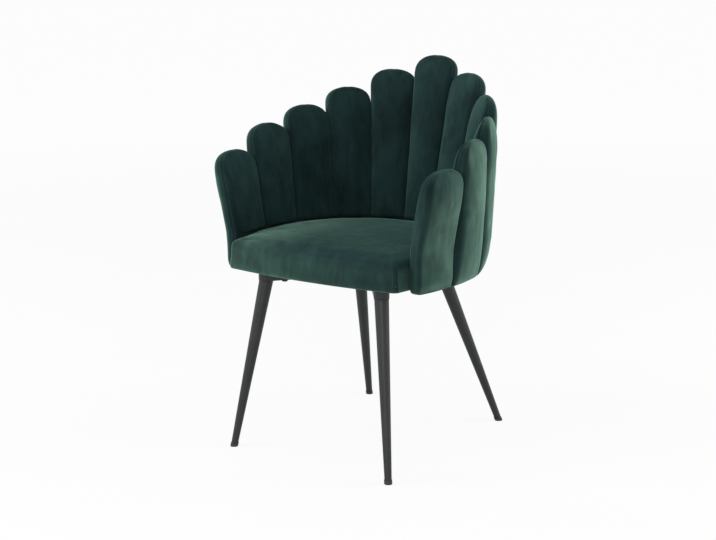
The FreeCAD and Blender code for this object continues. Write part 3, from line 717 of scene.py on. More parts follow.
class MeshKit:
    """Makes mesh objects and works on them as by hand."""

    @staticmethod
    def piece(name: str, verts: np.ndarray, faces: list[tuple[int, ...]]) -> bpy.types.Object:
        """A mesh object at the origin, with its faces turned outwards and smooth.

        Args:
            name: the piece's name.
            verts: its points.
            faces: vertex numbers of each face.

        Returns:
            The new object.
        """
        mesh = bpy.data.meshes.new(name)
        mesh.from_pydata([tuple(v) for v in verts.tolist()], [], faces)
        mesh.update()
        mesh.polygons.foreach_set("use_smooth", [True] * len(mesh.polygons))
        piece = bpy.data.objects.new(name, mesh)
        bpy.context.scene.collection.objects.link(piece)
        return piece

    @staticmethod
    def only(piece: bpy.types.Object) -> None:
        """Select one piece alone and make it active.

        Args:
            piece: the piece.
        """
        bpy.ops.object.select_all(action="DESELECT")
        piece.select_set(True)
        bpy.context.view_layer.objects.active = piece

    @classmethod
    def finish(cls, piece: bpy.types.Object, modifier: bpy.types.Modifier) -> None:
        """Apply a modifier."""
        cls.only(piece)
        bpy.ops.object.modifier_apply(modifier=modifier.name)

    @classmethod
    def subdivide(cls, piece: bpy.types.Object, levels: int = 1) -> None:
        """Smooth a piece by subdivision and keep the result.

        Args:
            piece: the piece.
            levels: how many times.
        """
        modifier = piece.modifiers.new("rounding", "SUBSURF")
        modifier.levels = levels
        modifier.render_levels = levels
        cls.finish(piece, modifier)

    @classmethod
    def outward(cls, piece: bpy.types.Object) -> None:
        """Turn a closed piece's faces outwards.

        Args:
            piece: the piece.
        """
        cls.only(piece)
        bpy.ops.object.mode_set(mode="EDIT")
        bpy.ops.mesh.select_all(action="SELECT")
        bpy.ops.mesh.normals_make_consistent(inside=False)
        bpy.ops.object.mode_set(mode="OBJECT")

    @staticmethod
    def read(piece: bpy.types.Object) -> np.ndarray:
        """All points of a piece.

        Args:
            piece: the piece.

        Returns:
            One row for each point.
        """
        flat = np.empty(len(piece.data.vertices) * 3)
        piece.data.vertices.foreach_get("co", flat)
        return flat.reshape(-1, 3)

    @staticmethod
    def write(piece: bpy.types.Object, verts: np.ndarray) -> None:
        """Move all points of a piece."""
        piece.data.vertices.foreach_set("co", verts.ravel())
        piece.data.update()

    @classmethod
    def skinned(cls, name: str, skin: Skin) -> bpy.types.Object:
        """A piece made of a skin, once subdivided, that keeps what its points know.

        Args:
            name: the piece's name.
            skin: its points, faces and marks.

        Returns:
            The piece.
        """
        piece = cls.piece(name, skin.verts, skin.faces)
        cls.mark(piece, "seam", skin.seam)
        # The painted-light mark paints light and shade into the velvet's colour.
        cls.mark(piece, "painted_light", skin.painted_light)
        cls.mark(piece, "loose", skin.loose)
        cls.outward(piece)
        cls.subdivide(piece)
        return piece

    @staticmethod
    def mark(piece: bpy.types.Object, name: str, values: np.ndarray) -> None:
        """Store one number for each point of a piece."""
        layer = piece.data.attributes.new(name, "FLOAT", "POINT")
        layer.data.foreach_set("value", np.asarray(values, dtype=np.float32))

    @staticmethod
    def marks(piece: bpy.types.Object, name: str) -> np.ndarray:
        """Read the numbers stored for each point of a piece.

        Args:
            piece: the piece.
            name: the name under which they are stored.

        Returns:
            One number for each point.
        """
        values = np.empty(len(piece.data.vertices), dtype=np.float32)
        piece.data.attributes[name].data.foreach_get("value", values)
        return values

    @staticmethod
    def normals(piece: bpy.types.Object) -> np.ndarray:
        """Outward direction at each point of a piece.

        Args:
            piece: the piece.

        Returns:
            One unit vector for each point.
        """
        flat = np.empty(len(piece.data.vertices) * 3)
        piece.data.vertex_normals.foreach_get("vector", flat)
        return flat.reshape(-1, 3)

    @classmethod
    def begin(cls, name: str) -> bpy.types.Object:
        """An empty mesh object at the origin, open for editing.

        Args:
            name: the object's name.

        Returns:
            The object.
        """
        piece = cls.piece(name, np.empty((0, 3)), [])
        cls.only(piece)
        bpy.ops.object.mode_set(mode="EDIT")
        return piece

    @staticmethod
    def pick_edges(piece: bpy.types.Object, test: Callable[[np.ndarray, np.ndarray], bool]) -> None:
        """Select the edges whose direction and middle pass a test, and nothing else.

        Args:
            piece: the mesh being edited.
            test: takes an edge's direction and its middle.
        """
        bpy.ops.mesh.select_mode(type="EDGE")
        bpy.ops.mesh.select_all(action="DESELECT")
        bpy.ops.object.mode_set(mode="OBJECT")
        for edge in piece.data.edges:
            first, second = (np.array(piece.data.vertices[number].co) for number in edge.vertices)
            way = (second - first) / max(1e-9, float(np.linalg.norm(second - first)))
            edge.select = bool(test(way, (first + second) / 2))
        bpy.ops.object.mode_set(mode="EDIT")

    @staticmethod
    def pick_faces(piece: bpy.types.Object, test: Callable[[np.ndarray, np.ndarray], bool]) -> None:
        """Select the faces whose direction and middle pass a test, and nothing else.

        Args:
            piece: the mesh being edited.
            test: takes a face's outward direction and its middle.
        """
        bpy.ops.mesh.select_mode(type="FACE")
        bpy.ops.mesh.select_all(action="DESELECT")
        bpy.ops.object.mode_set(mode="OBJECT")
        for face in piece.data.polygons:
            face.select = bool(test(np.array(face.normal), np.array(face.center)))
        bpy.ops.object.mode_set(mode="EDIT")

    @classmethod
    def merged(cls, piece: bpy.types.Object, name: str,
               copies: list[tuple[np.ndarray, bool]]) -> bpy.types.Object:
        """One new piece made of moved copies of a piece's mesh.

        Args:
            piece: the piece to copy.
            name: the new piece's name.
            copies: each copy's points, and whether its faces are turned round.

        Returns:
            The new piece, shaded as the first.
        """
        faces = [tuple(face.vertices) for face in piece.data.polygons]
        count = len(piece.data.vertices)
        all_faces: list[tuple[int, ...]] = []
        for number, (_, flipped) in enumerate(copies):
            for face in faces:
                turned = tuple(reversed(face)) if flipped else face
                all_faces.append(tuple(number * count + vertex for vertex in turned))
        made = cls.piece(name, np.concatenate([verts for verts, _ in copies]), all_faces)
        cls.only(made)
        bpy.ops.object.shade_smooth_by_angle(angle=math.radians(35))
        return made

    @classmethod
    def copied(cls, piece: bpy.types.Object, name: str,
               moves: list[tuple[float, np.ndarray]]) -> bpy.types.Object:
        """Copies of a piece, each mirrored in X where its factor is -1, then moved by its step.

        Args:
            piece: what is copied.
            name: the new piece's name.
            moves: factor and step of each copy.

        Returns:
            All copies as one piece.
        """
        verts = cls.read(piece)
        copies = [(verts * np.array([factor, 1.0, 1.0]) + step, factor < 0) for factor, step in moves]
        return cls.merged(piece, name, copies)

    @classmethod
    def turned(cls, piece: bpy.types.Object, name: str,
               moves: list[tuple[float, np.ndarray]]) -> bpy.types.Object:
        """Copies of a piece that lies at the origin, each turned about Z by its angle, then moved.

        Args:
            piece: what is copied.
            name: the new piece's name.
            moves: angle and step of each copy.

        Returns:
            All copies as one piece.
        """
        verts = cls.read(piece)
        copies = []
        for angle, step in moves:
            turn = np.array([[math.cos(angle), math.sin(angle), 0.0],
                             [-math.sin(angle), math.cos(angle), 0.0], [0.0, 0.0, 1.0]])
            copies.append((verts @ turn + step, False))
        return cls.merged(piece, name, copies)

    @staticmethod
    def dress(piece: bpy.types.Object, material: bpy.types.Material) -> None:
        """Give a piece one material."""
        piece.data.materials.clear()
        piece.data.materials.append(material)


class Upholsterer:
    """Swells stuffed skins with a short cloth simulation."""

    FRAMES = 20
    STEPS = 10
    DENT = 0.0008

    def __init__(self, pressure: float, smoothing: int) -> None:
        """Keep the air pressure and how often the cloth's movement is evened out."""
        self.pressure = pressure
        self.smoothing = smoothing

    def evened(self, moved: np.ndarray, faces: list[tuple[int, ...]], pinned: np.ndarray) -> np.ndarray:
        """Movement evened out between neighbours, as a thick backed velvet would.

        Args:
            moved: each point's movement.
            faces: vertex numbers of each face.
            pinned: how firmly each point is held.

        Returns:
            The movement with the firmly held points left in place.
        """
        pairs = np.array([(face[number - 1], face[number]) for face in faces for number in range(len(face))])
        first = np.concatenate([pairs[:, 0], pairs[:, 1]])
        second = np.concatenate([pairs[:, 1], pairs[:, 0]])
        count = np.bincount(first, minlength=len(moved))[:, None]
        free = (pinned < 0.95)[:, None]
        for _ in range(self.smoothing):
            total = np.column_stack([np.bincount(first, moved[second, axis], len(moved))
                                     for axis in range(3)])
            moved = 0.5 * (moved + total / count) * free
        return moved

    def swell(self, skins: list[Skin]) -> None:
        """Blow up a set of skins together, in place.

        Args:
            skins: the skins; their pinned points stay where they are.
        """
        verts = np.concatenate([skin.verts for skin in skins])
        pinned = np.concatenate([skin.pinned for skin in skins])
        faces: list[tuple[int, ...]] = []
        start = 0
        for skin in skins:
            faces += [tuple(start + number for number in face) for face in skin.faces]
            start += len(skin.verts)
        body = MeshKit.piece("stuffing", verts, faces)
        MeshKit.outward(body)
        normals = MeshKit.normals(body)
        group = body.vertex_groups.new(name="sewn")
        levels = np.round(pinned * self.STEPS).astype(int)
        for level in range(1, self.STEPS + 1):
            members = np.nonzero(levels == level)[0].tolist()
            if members:
                group.add(members, level / self.STEPS, "REPLACE")
        cloth = body.modifiers.new("filling", "CLOTH")
        settings = cloth.settings
        settings.quality = 5
        settings.mass = 0.2
        settings.tension_stiffness = 12.0
        settings.compression_stiffness = 12.0
        settings.shear_stiffness = 5.0
        settings.bending_stiffness = 0.4
        settings.use_pressure = True
        settings.uniform_pressure_force = self.pressure
        settings.vertex_group_mass = group.name
        settings.effector_weights.gravity = 0.0
        cloth.collision_settings.use_collision = False
        cloth.point_cache.frame_start = 1
        cloth.point_cache.frame_end = self.FRAMES
        scene = bpy.context.scene
        for number in range(1, self.FRAMES + 1):
            scene.frame_set(number)
        MeshKit.only(body)
        bpy.ops.object.modifier_apply(modifier=cloth.name)
        moved = MeshKit.read(body) - verts
        scene.frame_set(1)
        moved = self.evened(moved, faces, pinned)
        length = np.linalg.norm(moved, axis=1)
        LOG.info("stuffing moved %.1f mm at most, %.1f mm on average",
                 1000 * length.max(), 1000 * length.mean())
        room = np.concatenate([skin.room for skin in skins])
        moved *= (np.minimum(1.0, room / np.maximum(length, 1e-9)))[:, None]
        dent = np.minimum(0.0, (moved * normals).sum(1) + self.DENT)
        moved -= dent[:, None] * normals
        verts = verts + moved
        start = 0
        for skin in skins:
            skin.verts = verts[start:start + len(skin.verts)]
            start += len(skin.verts)
        bpy.data.objects.remove(body)


@dataclass
class ChannelShell:
    """The back and arms: eleven padded channels, numbered from the -X arm round to the +X arm."""

    sizes: ShellSizes = field(default_factory=ShellSizes)
    inset: float = 0.0025
    straight_step: float = 0.008
    dome_steps: int = 20
    shift: float = 0.0

    def lean(self, height: float) -> float:
        """Height over which the shell has leaned outwards.

        Args:
            height: height above the floor.

        Returns:
            The leaning height in metres.
        """
        above = height - self.sizes.low.height
        if abs(above) >= self.sizes.bend_ease:
            return max(0.0, above)
        return (above + self.sizes.bend_ease) ** 2 / (4 * self.sizes.bend_ease)

    def crease(self, index: int, side: int, height: float) -> tuple[np.ndarray, np.ndarray]:
        """Point of a crease at a height and its outward direction, in plan.

        Args:
            index: number of the crease, from the middle.
            side: 1 at +X, -1 at -X.
            height: height above the floor.

        Returns:
            The point and the direction.
        """
        sizes = self.sizes
        last = sizes.side_channels
        low, low_facing = sizes.low.point(sizes.low.crease_distance(index, last))
        high, high_facing = sizes.high.point(sizes.high.crease_distance(index, last))
        share = self.lean(height) / (sizes.high.height - sizes.low.height)
        point = low + (high - low) * share
        facing = low_facing + (high_facing - low_facing) * share
        flip = np.array([side, 1.0])
        return point * flip, np.array([math.sin(facing), math.cos(facing)]) * flip

    def creases(self, channel: int, height: float) -> list[tuple[np.ndarray, np.ndarray]]:
        """The two creases beside a channel.

        Args:
            channel: number of the channel, 0 in the middle.
            height: height above the floor.

        Returns:
            Both points with their directions.
        """
        if channel == 0:
            return [self.crease(0, -1, height), self.crease(0, 1, height)]
        return [self.crease(channel - 1, 1, height), self.crease(channel, 1, height)]

    def top(self, channel: int) -> float:
        """Height of a channel's top."""
        return self.sizes.bottom_z + self.sizes.centre_height * self.sizes.height_shares[channel]

    def outer_depth(self, channel: int, height: float) -> float:
        """How far a channel stands out behind its chord.

        Args:
            channel: number of the channel, 0 in the middle.
            height: height above the floor.

        Returns:
            The depth in metres.
        """
        sizes = self.sizes
        share = (height - sizes.low.height) / (sizes.high.height - sizes.low.height)
        share = min(1.0, 2 * min(1.0, max(0.0, share)))
        low = sizes.low_outer_depth * sizes.low_outer_shares[channel]
        depth = low + (sizes.outer_depth - low) * share
        above = (height - sizes.bottom_z) / sizes.tuck_height
        if above < 1:
            depth = sizes.tuck_depth + (depth - sizes.tuck_depth) * math.sqrt(max(0.0, 1 - (1 - above) ** 2))
        return depth

    def levels(self, channel: int) -> list[float]:
        """Heights of a channel's rings, from its bottom edge to just under its top.

        Args:
            channel: number of the channel, 0 in the middle.

        Returns:
            The heights, from the lowest.
        """
        sizes = self.sizes
        top = self.top(channel)
        bottom = sizes.bottom_z
        heights = [bottom + rise for rise in (0.0, 0.0012, 0.0035, 0.008, 0.014, 0.021)]
        heights += list(np.arange(bottom + 0.029, sizes.lip_z - 0.004, self.straight_step))
        heights += [sizes.lip_z + rise for rise in (-0.002, 0.0, 0.0004, 0.0012, 0.0024, 0.004, 0.006)]
        dome = top - sizes.dome_thin_rise
        start = sizes.lip_z + sizes.lip_radius
        count = max(2, round((dome - start) / self.straight_step))
        heights += [start + (dome - start) * step / count for step in range(1, count + 1)]
        for step in range(1, self.dome_steps):
            heights.append(dome + sizes.dome_thin_rise * math.sin(math.pi / 2 * step / self.dome_steps))
        return heights

    def section(self, channel: int, height: float, width_share: float,
                depth_share: float) -> tuple[np.ndarray, np.ndarray, np.ndarray, np.ndarray, float]:
        """A channel's level section in its own chord coordinates.

        Args:
            channel: 0 for the middle one, up to the arm's front one.
            height: height above the floor.
            width_share: how much of the full width is left under the dome.
            depth_share: how much of the full depth is left under the dome.

        Returns:
            The loop of points, the chord's middle, its direction, the outward direction and its length.
        """
        sizes = self.sizes
        (start, first), (end, second) = self.creases(channel, height)
        chord = end - start
        length = float(np.linalg.norm(chord))
        along = chord / length
        outward = np.array([-along[1], along[0]])
        centre = (start + end) / 2
        drawn = self.inset * min(1.0, 2 * depth_share)
        arm = channel == sizes.side_channels
        drawn_in = drawn * eased((height - sizes.lip_z - sizes.lip_radius) / sizes.inner_draw_run)
        drawn_out = 0.0 if arm else drawn * eased_over(height, *sizes.outer_draw)
        inner_depth = max(sizes.least_depth, sizes.inner_depth * depth_share - drawn_in)
        full = self.outer_depth(channel, height)
        if arm:
            rise = eased_over(height, sizes.bottom_z, sizes.arm_foot_run)
            low = sizes.tuck_depth + (sizes.slat_cover - sizes.tuck_depth) * rise
            full = low + (full + sizes.fuller[channel] - low) * eased_over(height, *sizes.arm_full)
        else:
            full += sizes.fuller[channel] * eased_over(height, *sizes.back_full)
        outer_depth = max(sizes.least_depth, full * depth_share - drawn_out)
        inner_ends, outer_ends = [], []
        for number, (point, facing) in enumerate([(start, first), (end, second)]):
            away = -1 if number == 0 else 1
            free = arm and number == 1
            y_in = (sizes.free_flat if free else sizes.inner_flat) * inner_depth / sizes.inner_depth
            y_out = (sizes.free_flat if free else sizes.outer_flat) * outer_depth / sizes.outer_depth
            lean = away * math.atan2(float(facing @ along), float(facing @ outward))
            at = float((point - centre) @ along) * width_share
            if free:
                at += sizes.free_full * eased_over(height, *sizes.free_full_from)
                above = (height - sizes.bottom_z) / sizes.free_corner
                if above < 1:
                    at -= sizes.free_corner * (1 - math.sqrt(max(0.0, 1 - (1 - above) ** 2)))
            else:
                at += -away * sizes.gap / 2
            inner_ends.append((at - away * y_in * math.tan(lean), y_in, -lean))
            outer_ends.append((at + away * y_out * math.tan(lean), y_out, lean))
        turn = sizes.crown_end_turn
        inner = Section.half(inner_ends, inner_depth, sizes.inner_depth, turn)
        outer = Section.half(outer_ends, outer_depth, sizes.inner_depth, turn)
        return Section.loop(inner, outer), centre, along, outward, length

    def ring(self, channel: int, height: float) -> np.ndarray:
        """One ring of a channel.

        Args:
            channel: 0 for the middle one, up to the arm's front one.
            height: its height above the floor.

        Returns:
            A row for each point: its place, seam distance, firmness, painted light, looseness and room to
                swell.
        """
        sizes = self.sizes
        top = self.top(channel)
        wide = (height - (top - sizes.dome_rise)) / sizes.dome_rise
        thin = (height - (top - sizes.dome_thin_rise)) / sizes.dome_thin_rise
        width_share = math.sqrt(1 - wide ** sizes.dome_power) if wide > 0 else 1.0
        depth_share = math.sqrt(1 - thin ** 2) if thin > 0 else 1.0
        loop, centre, along, outward, length = self.section(channel, height, width_share, depth_share)
        depth = loop[:, 1].copy()
        seam = depth + sizes.seam_depth * depth_share
        columns = len(loop)
        touching = np.zeros(columns)
        side = Section.SIDE_POINTS
        touching[:side + 1] = 1.0
        if channel < sizes.side_channels:
            second = side + 2 * Section.CORNER_POINTS + Section.CROWN_POINTS
            touching[second:second + side + 1] = 1.0
        touching *= sizes.dome_firmness if width_share < 1.0 else 1.0
        firm = np.maximum(touching, sizes.seam_firmness * hump(seam, 0.0, sizes.seam_firm_width))
        firm = np.maximum(firm, sizes.low_firmness * (1 - eased_over(height, *sizes.low_firm)))
        lip = sizes.lip_z + sizes.lip_radius
        loose = 1.0 - np.minimum(1.0, touching)
        if height < lip + sizes.lip_loose_run:
            loose = np.where(depth < 0, loose * eased_over(height, lip, sizes.lip_loose_run), loose)
        if height < lip:
            outside = sizes.low.crease_distance(channel, sizes.side_channels)
            facing = sizes.low.point(outside - sizes.lip_step_back)[1]
            wall = sizes.low.sagitta(loop[:, 0], length, facing) - sizes.seat_margin
            into = max(0.0, (lip - height) / sizes.lip_radius)
            share = 0.0 if into >= 1 else math.sqrt(1 - into ** 2)
            inside = depth < wall
            loop[:, 1] = np.where(inside, wall + (depth - wall) * share, depth)
            firm = np.where(depth < 0, 1.0, firm)
        plan = centre + loop[:, :1] * along + loop[:, 1:] * outward
        # Painted light and shade: dark on the inner side, where shade falls inside the shell, pale on the
        # outer side, and darker towards the arm channel's top.
        painted_light = sizes.painted_light_least + (1 - sizes.painted_light_least) * eased_over(depth, *sizes.painted_light_depth)
        if channel == sizes.side_channels:
            painted_light *= 1 - sizes.arm_painted_shade * eased_over(height - top, *sizes.arm_painted_shade_top)
        room = np.full(columns, sizes.room)
        middle = eased_over(height, *sizes.room_low) * eased((top - height) / sizes.room_top_run)
        room += np.where(depth > 0, sizes.outer_room * middle, 0.0)
        return np.column_stack([plan[:, 0], plan[:, 1] + self.shift, np.full(columns, height),
                                seam, firm, painted_light, loose, room])

    def skin(self, channel: int) -> Skin:
        """The closed skin of a channel on the +X side or in the middle.

        Args:
            channel: number of the channel, 0 in the middle.

        Returns:
            The skin, with its marks.
        """
        rings = [self.ring(channel, height) for height in self.levels(channel)]
        under = []
        for share, rise in ((0.45, 0.0012), (0.80, 0.0006)):
            row = rings[0].copy()
            row[:, :2] = row[:, :2].mean(0) + (row[:, :2] - row[:, :2].mean(0)) * share
            row[:, 2] += rise
            row[:, 3] = 1.0
            row[:, 4] = 1.0
            row[:, 6] = 0.0
            under.append(row)
        bottom = under[0].mean(0)
        crown = rings[-1].mean(0)
        crown[2] = self.top(channel)
        rings = under + rings
        data = np.concatenate(rings + [bottom[None], crown[None]])
        faces = ring_faces(len(rings), len(rings[0]))
        return Skin(data[:, :3], faces, *data[:, 3:].T)

    def sew(self, piece: bpy.types.Object, number: int) -> None:
        """Draw the seam in and make the cloth a little uneven, as a stuffed channel is.

        Args:
            piece: the channel, with its seam and looseness stored.
            number: its number, which makes its unevenness its own.
        """
        verts = MeshKit.read(piece)
        normals = MeshKit.normals(piece)
        seam = MeshKit.marks(piece, "seam")
        loose = MeshKit.marks(piece, "loose")
        sizes = self.sizes
        width = sizes.groove_width
        groove = -sizes.groove * hump(seam, 0.0, width)
        lips = sizes.lip_share * sizes.groove * hump(np.abs(seam), sizes.lip_place * width, width)
        pitch = 2 * math.pi / sizes.pucker_pitch
        swing, slower = sizes.pucker_swing
        ripple = np.sin(verts[:, 2] * pitch + swing * np.sin(verts[:, 2] * pitch * slower + number))
        pucker = sizes.pucker * ripple * hump(seam, 0.0, sizes.pucker_width)
        soft = noise_at(verts, sizes.soft_scale, (number * sizes.soft_step, 0, 0))
        fine = noise_at(verts, sizes.fine_scale, (0, number * sizes.fine_step, 0))
        uneven = sizes.soft_height * soft + sizes.fine_height * fine
        above = np.clip((verts[:, 2] - sizes.bottom_z - sizes.groove_start) / sizes.groove_run, 0, 1)
        move = ((groove + lips) * above + (pucker + uneven) * loose)
        MeshKit.write(piece, verts + normals * move[:, None])

    def build(self, velvet: bpy.types.Material) -> None:
        """Make, stuff, sew and place every channel.

        Args:
            velvet: the cover's material.
        """
        last = self.sizes.side_channels
        halves = [self.skin(channel) for channel in range(last + 1)]
        Upholsterer(4.0, 6).swell(halves)
        skins = {last + 1 + channel: skin for channel, skin in enumerate(halves)}
        skins |= {last + 1 - channel: skin.mirrored() for channel, skin in enumerate(halves) if channel}
        for number, skin in sorted(skins.items()):
            name = f"velvet_channel_{number:02d}"
            piece = MeshKit.skinned(name, skin)
            self.sew(piece, number)
            MeshKit.dress(piece, velvet)
            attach(piece, BODY)
            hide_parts(f"pad_cover_{number:02d}", f"pad_foam_{number:02d}")
            LOG.info("%s: %d faces", name, len(piece.data.polygons))


@dataclass
class SeatSizes:
    """Sizes of the seat cushion."""

    bottom_z: float = 0.404
    edge_height: float = 0.069
    crown: float = 0.0112
    corner_x: float = 0.220
    corner_y: float = -0.243
    front_bow: float = 0.018
    side_length: float = 0.133
    centre_y: float = -0.030
    back_margin: float = 0.01662
    corner_radius: float = 0.009
    bottom_roll: float = 0.004
    roll_turn: float = math.radians(80)
    tight_roll: float = 0.017
    front_roll: float = 0.044
    front_drop: float = 0.028
    front_bulge: float = 0.0015
    front_from: float = -0.135
    front_to: float = -0.205
    pleat: float = 0.0010
    pleat_width: float = 0.0018
    droop: float = 0.0022
    oval: tuple[float, float] = (0.232, 0.222)
    room: float = 0.0040
    crown_power: float = 2.4
    crown_spread: float = 1.07
    crown_run_rows: int = 9
    oval_from: tuple[float, float] = (0.03, 0.13)
    fold_fade: tuple[float, float] = (0.034, 0.018)
    fold_lip: float = 0.35
    fold_lip_place: float = 0.0045
    fold_lip_width: float = 0.002
    fold_firm_width: float = 0.003
    top_from: tuple[float, float] = (0.038, 0.024)
    soft_height: float = 0.0011
    soft_scale: float = 13.0
    fine_height: float = 0.00025
    fine_scale: float = 48.0


@dataclass
class SeatCushion:
    """The thick seat, crowned on top and drawn over its soft front edge."""

    CROWN_FROM: ClassVar[int] = 24
    CALM_ROWS: ClassVar[int] = 6
    CALM_POWER: ClassVar[int] = 6
    CALM_MIDDLE: ClassVar[float] = 0.01
    FRONT_STEPS: ClassVar[int] = 160
    CORNER_STEPS: ClassVar[int] = 24
    SIDE_STEPS: ClassVar[int] = 60
    BACK_STEPS: ClassVar[int] = 160
    EVEN_STOPS: ClassVar[int] = 118
    CORNER_STOPS: ClassVar[tuple[float, ...]] = (-9, -6.5, -4.5, -3, -2, -1, 0, 1, 2, 3, 4.5, 6.5, 9)
    CORNER_ROOM: ClassVar[float] = 0.0115

    shell: PlanCurve
    sizes: SeatSizes = field(default_factory=SeatSizes)
    shift: float = 0.0
    inset: float = 0.002

    def outline(self) -> tuple[np.ndarray, np.ndarray]:
        """Plan outline of the cushion, closest together at its front corners.

        Returns:
            Points from the middle of the front, round by the +X side, and each one's distance along the
            outline from the nearest front corner, positive towards the side.
        """
        sizes = self.sizes
        turn = self.shell.back_radius * self.shell.back_turn

        def back(distance: float) -> np.ndarray:
            """Point of the outline that follows the shell."""
            point, facing = self.shell.point(distance)
            return point - np.array([math.sin(facing), math.cos(facing)]) * sizes.back_margin

        side_end = back(turn + sizes.side_length)
        corner = np.array([sizes.corner_x, sizes.corner_y])
        slope = 2 * sizes.front_bow / sizes.corner_x
        front_way = np.array([1.0, slope]) / math.hypot(1.0, slope)
        side_way = (side_end - corner) / np.linalg.norm(side_end - corner)
        corner_front = corner - front_way * sizes.corner_radius
        corner_side = corner + side_way * sizes.corner_radius
        middle = ((corner_front + corner_side) / 2 + corner) / 2
        bow = np.array([0.0, sizes.corner_y - sizes.front_bow])
        mirror = corner_front * np.array([-1.0, 1.0])
        side_shares = np.linspace(0, 1, self.SIDE_STEPS, endpoint=False)
        half = [Section.arc(mirror, bow, corner_front, self.FRONT_STEPS)[self.FRONT_STEPS // 2:],
                Section.arc(corner_front, middle, corner_side, self.CORNER_STEPS),
                corner_side + side_shares[:, None] * (side_end - corner_side),
                np.array([back(turn + sizes.side_length * (1 - share)) for share in side_shares]),
                np.array([back(turn * (1 - share)) for share in np.linspace(0, 1, self.BACK_STEPS + 1)])]
        line = np.concatenate(half)
        places = np.concatenate([[0.0], np.cumsum(np.linalg.norm(np.diff(line, axis=0), axis=1))])
        corner_at = places[self.FRONT_STEPS // 2 + self.CORNER_STEPS // 2]
        near = corner_at + np.array(self.CORNER_STOPS) / 1000
        even = np.linspace(0, places[-1], self.EVEN_STOPS)
        even = even[np.abs(even - corner_at) > self.CORNER_ROOM]
        stops = np.sort(np.concatenate([even, near]))
        right = np.column_stack([np.interp(stops, places, line[:, axis]) for axis in (0, 1)])
        left = right[1:-1][::-1] * np.array([-1.0, 1.0])
        to_corner = stops - corner_at
        return np.concatenate([right, left]), np.concatenate([to_corner, to_corner[1:-1][::-1]])

    def rows(self, front: np.ndarray) -> list[tuple[np.ndarray, np.ndarray]]:
        """Inset and height of every ring's points, from inside the bottom, up the side and over the crown.

        Args:
            front: 1 where a column belongs to the soft front edge, 0 at the sides and the back.

        Returns:
            Two arrays for each ring.
        """
        sizes = self.sizes
        low, edge = sizes.bottom_z, sizes.bottom_z + sizes.edge_height
        same = np.ones_like(front)
        rows = [(drawn * same, (low + rise) * same) for drawn, rise in
                ((0.12, 0.0005), (0.06, 0.0004), (0.02, 0.0002), (0.008, 0.0), (sizes.bottom_roll, 0.0),
                 (sizes.bottom_roll * 0.3, sizes.bottom_roll * 0.3), (0.0, sizes.bottom_roll))]
        run = sizes.tight_roll + (sizes.front_roll - sizes.tight_roll) * front
        drop = sizes.tight_roll + (sizes.front_drop - sizes.tight_roll) * front
        side_low = low + sizes.bottom_roll
        settle = self.inset
        for share in (0.12, 0.25, 0.40, 0.55, 0.70, 0.85, 1.0):
            height = side_low + (edge - drop - side_low) * share
            bulge = sizes.front_bulge * front * math.sin(math.pi * share)
            rows.append((settle * eased(share * 3 - 0.5) * same - bulge, height))
        for step in range(1, 11):
            turn = sizes.roll_turn * step / 10
            rows.append((settle + run * (1 - math.cos(turn)), edge - drop * (1 - math.sin(turn))))
        start, height = rows[-1]
        end = sizes.centre_y - sizes.corner_y
        rise = low + sizes.edge_height + sizes.crown - height
        for step in range(1, 26):
            share = step / 26
            rows.append((start + (end - start) * share,
                         height + rise * (1 - (1 - share) ** sizes.crown_power)))
        return rows

    def skin(self) -> Skin:
        """The cushion's closed skin, pleated at its front corners.

        Returns:
            The skin, with its marks.
        """
        sizes = self.sizes
        outline, to_corner = self.outline()
        centre = np.array([0.0, sizes.centre_y])
        reach = sizes.centre_y - sizes.corner_y
        front = eased((sizes.front_from - outline[:, 1]) / (sizes.front_from - sizes.front_to))
        across = np.abs(outline[:, 0]) / sizes.corner_x
        soft = front * np.maximum(0.0, 1 - across ** 4)
        droop = sizes.droop * front * across ** 6
        turns = -math.pi / 2 + 2 * math.pi * np.arange(len(outline)) / len(outline)
        oval = np.column_stack([np.cos(turns), np.sin(turns)]) * np.array(sizes.oval)
        data = []
        for drawn_in, height in self.rows(soft):
            up = 1 - eased_over(height - sizes.bottom_z, *sizes.fold_fade)
            fold = sizes.pleat * hump(to_corner, 0.0, sizes.pleat_width)
            fold -= sizes.fold_lip * sizes.pleat * hump(np.abs(to_corner), sizes.fold_lip_place,
                                                        sizes.fold_lip_width)
            total = drawn_in + fold * up
            on_top = (height > sizes.bottom_z + 0.03)[:, None]
            share = eased_over(drawn_in, *sizes.oval_from)[:, None] * on_top
            plan = (outline - centre) * (1 - share) + oval * share
            flat = centre + plan * np.maximum(0.02, 1 - total / reach)[:, None]
            if len(data) >= self.CROWN_FROM:
                inward = eased_over(len(data), self.CROWN_FROM, sizes.crown_run_rows)
                out = np.linalg.norm((flat - centre) / np.array(sizes.oval), axis=1) * sizes.crown_spread
                rise = sizes.crown * (1 - np.minimum(1.0, out) ** sizes.crown_power)
                dome = sizes.bottom_z + sizes.edge_height + rise
                height = height * (1 - inward) + dome * inward
            above = height - sizes.bottom_z
            firm = np.where(above < 0.007, 1.0, np.where(above < 0.016, 0.5, 0.0))
            firm = np.maximum(firm, (1 - front) * (above < 0.066))
            firm = np.maximum(firm, 0.9 * up * hump(to_corner, 0.0, sizes.fold_firm_width))
            share = eased_over(above, *sizes.top_from)
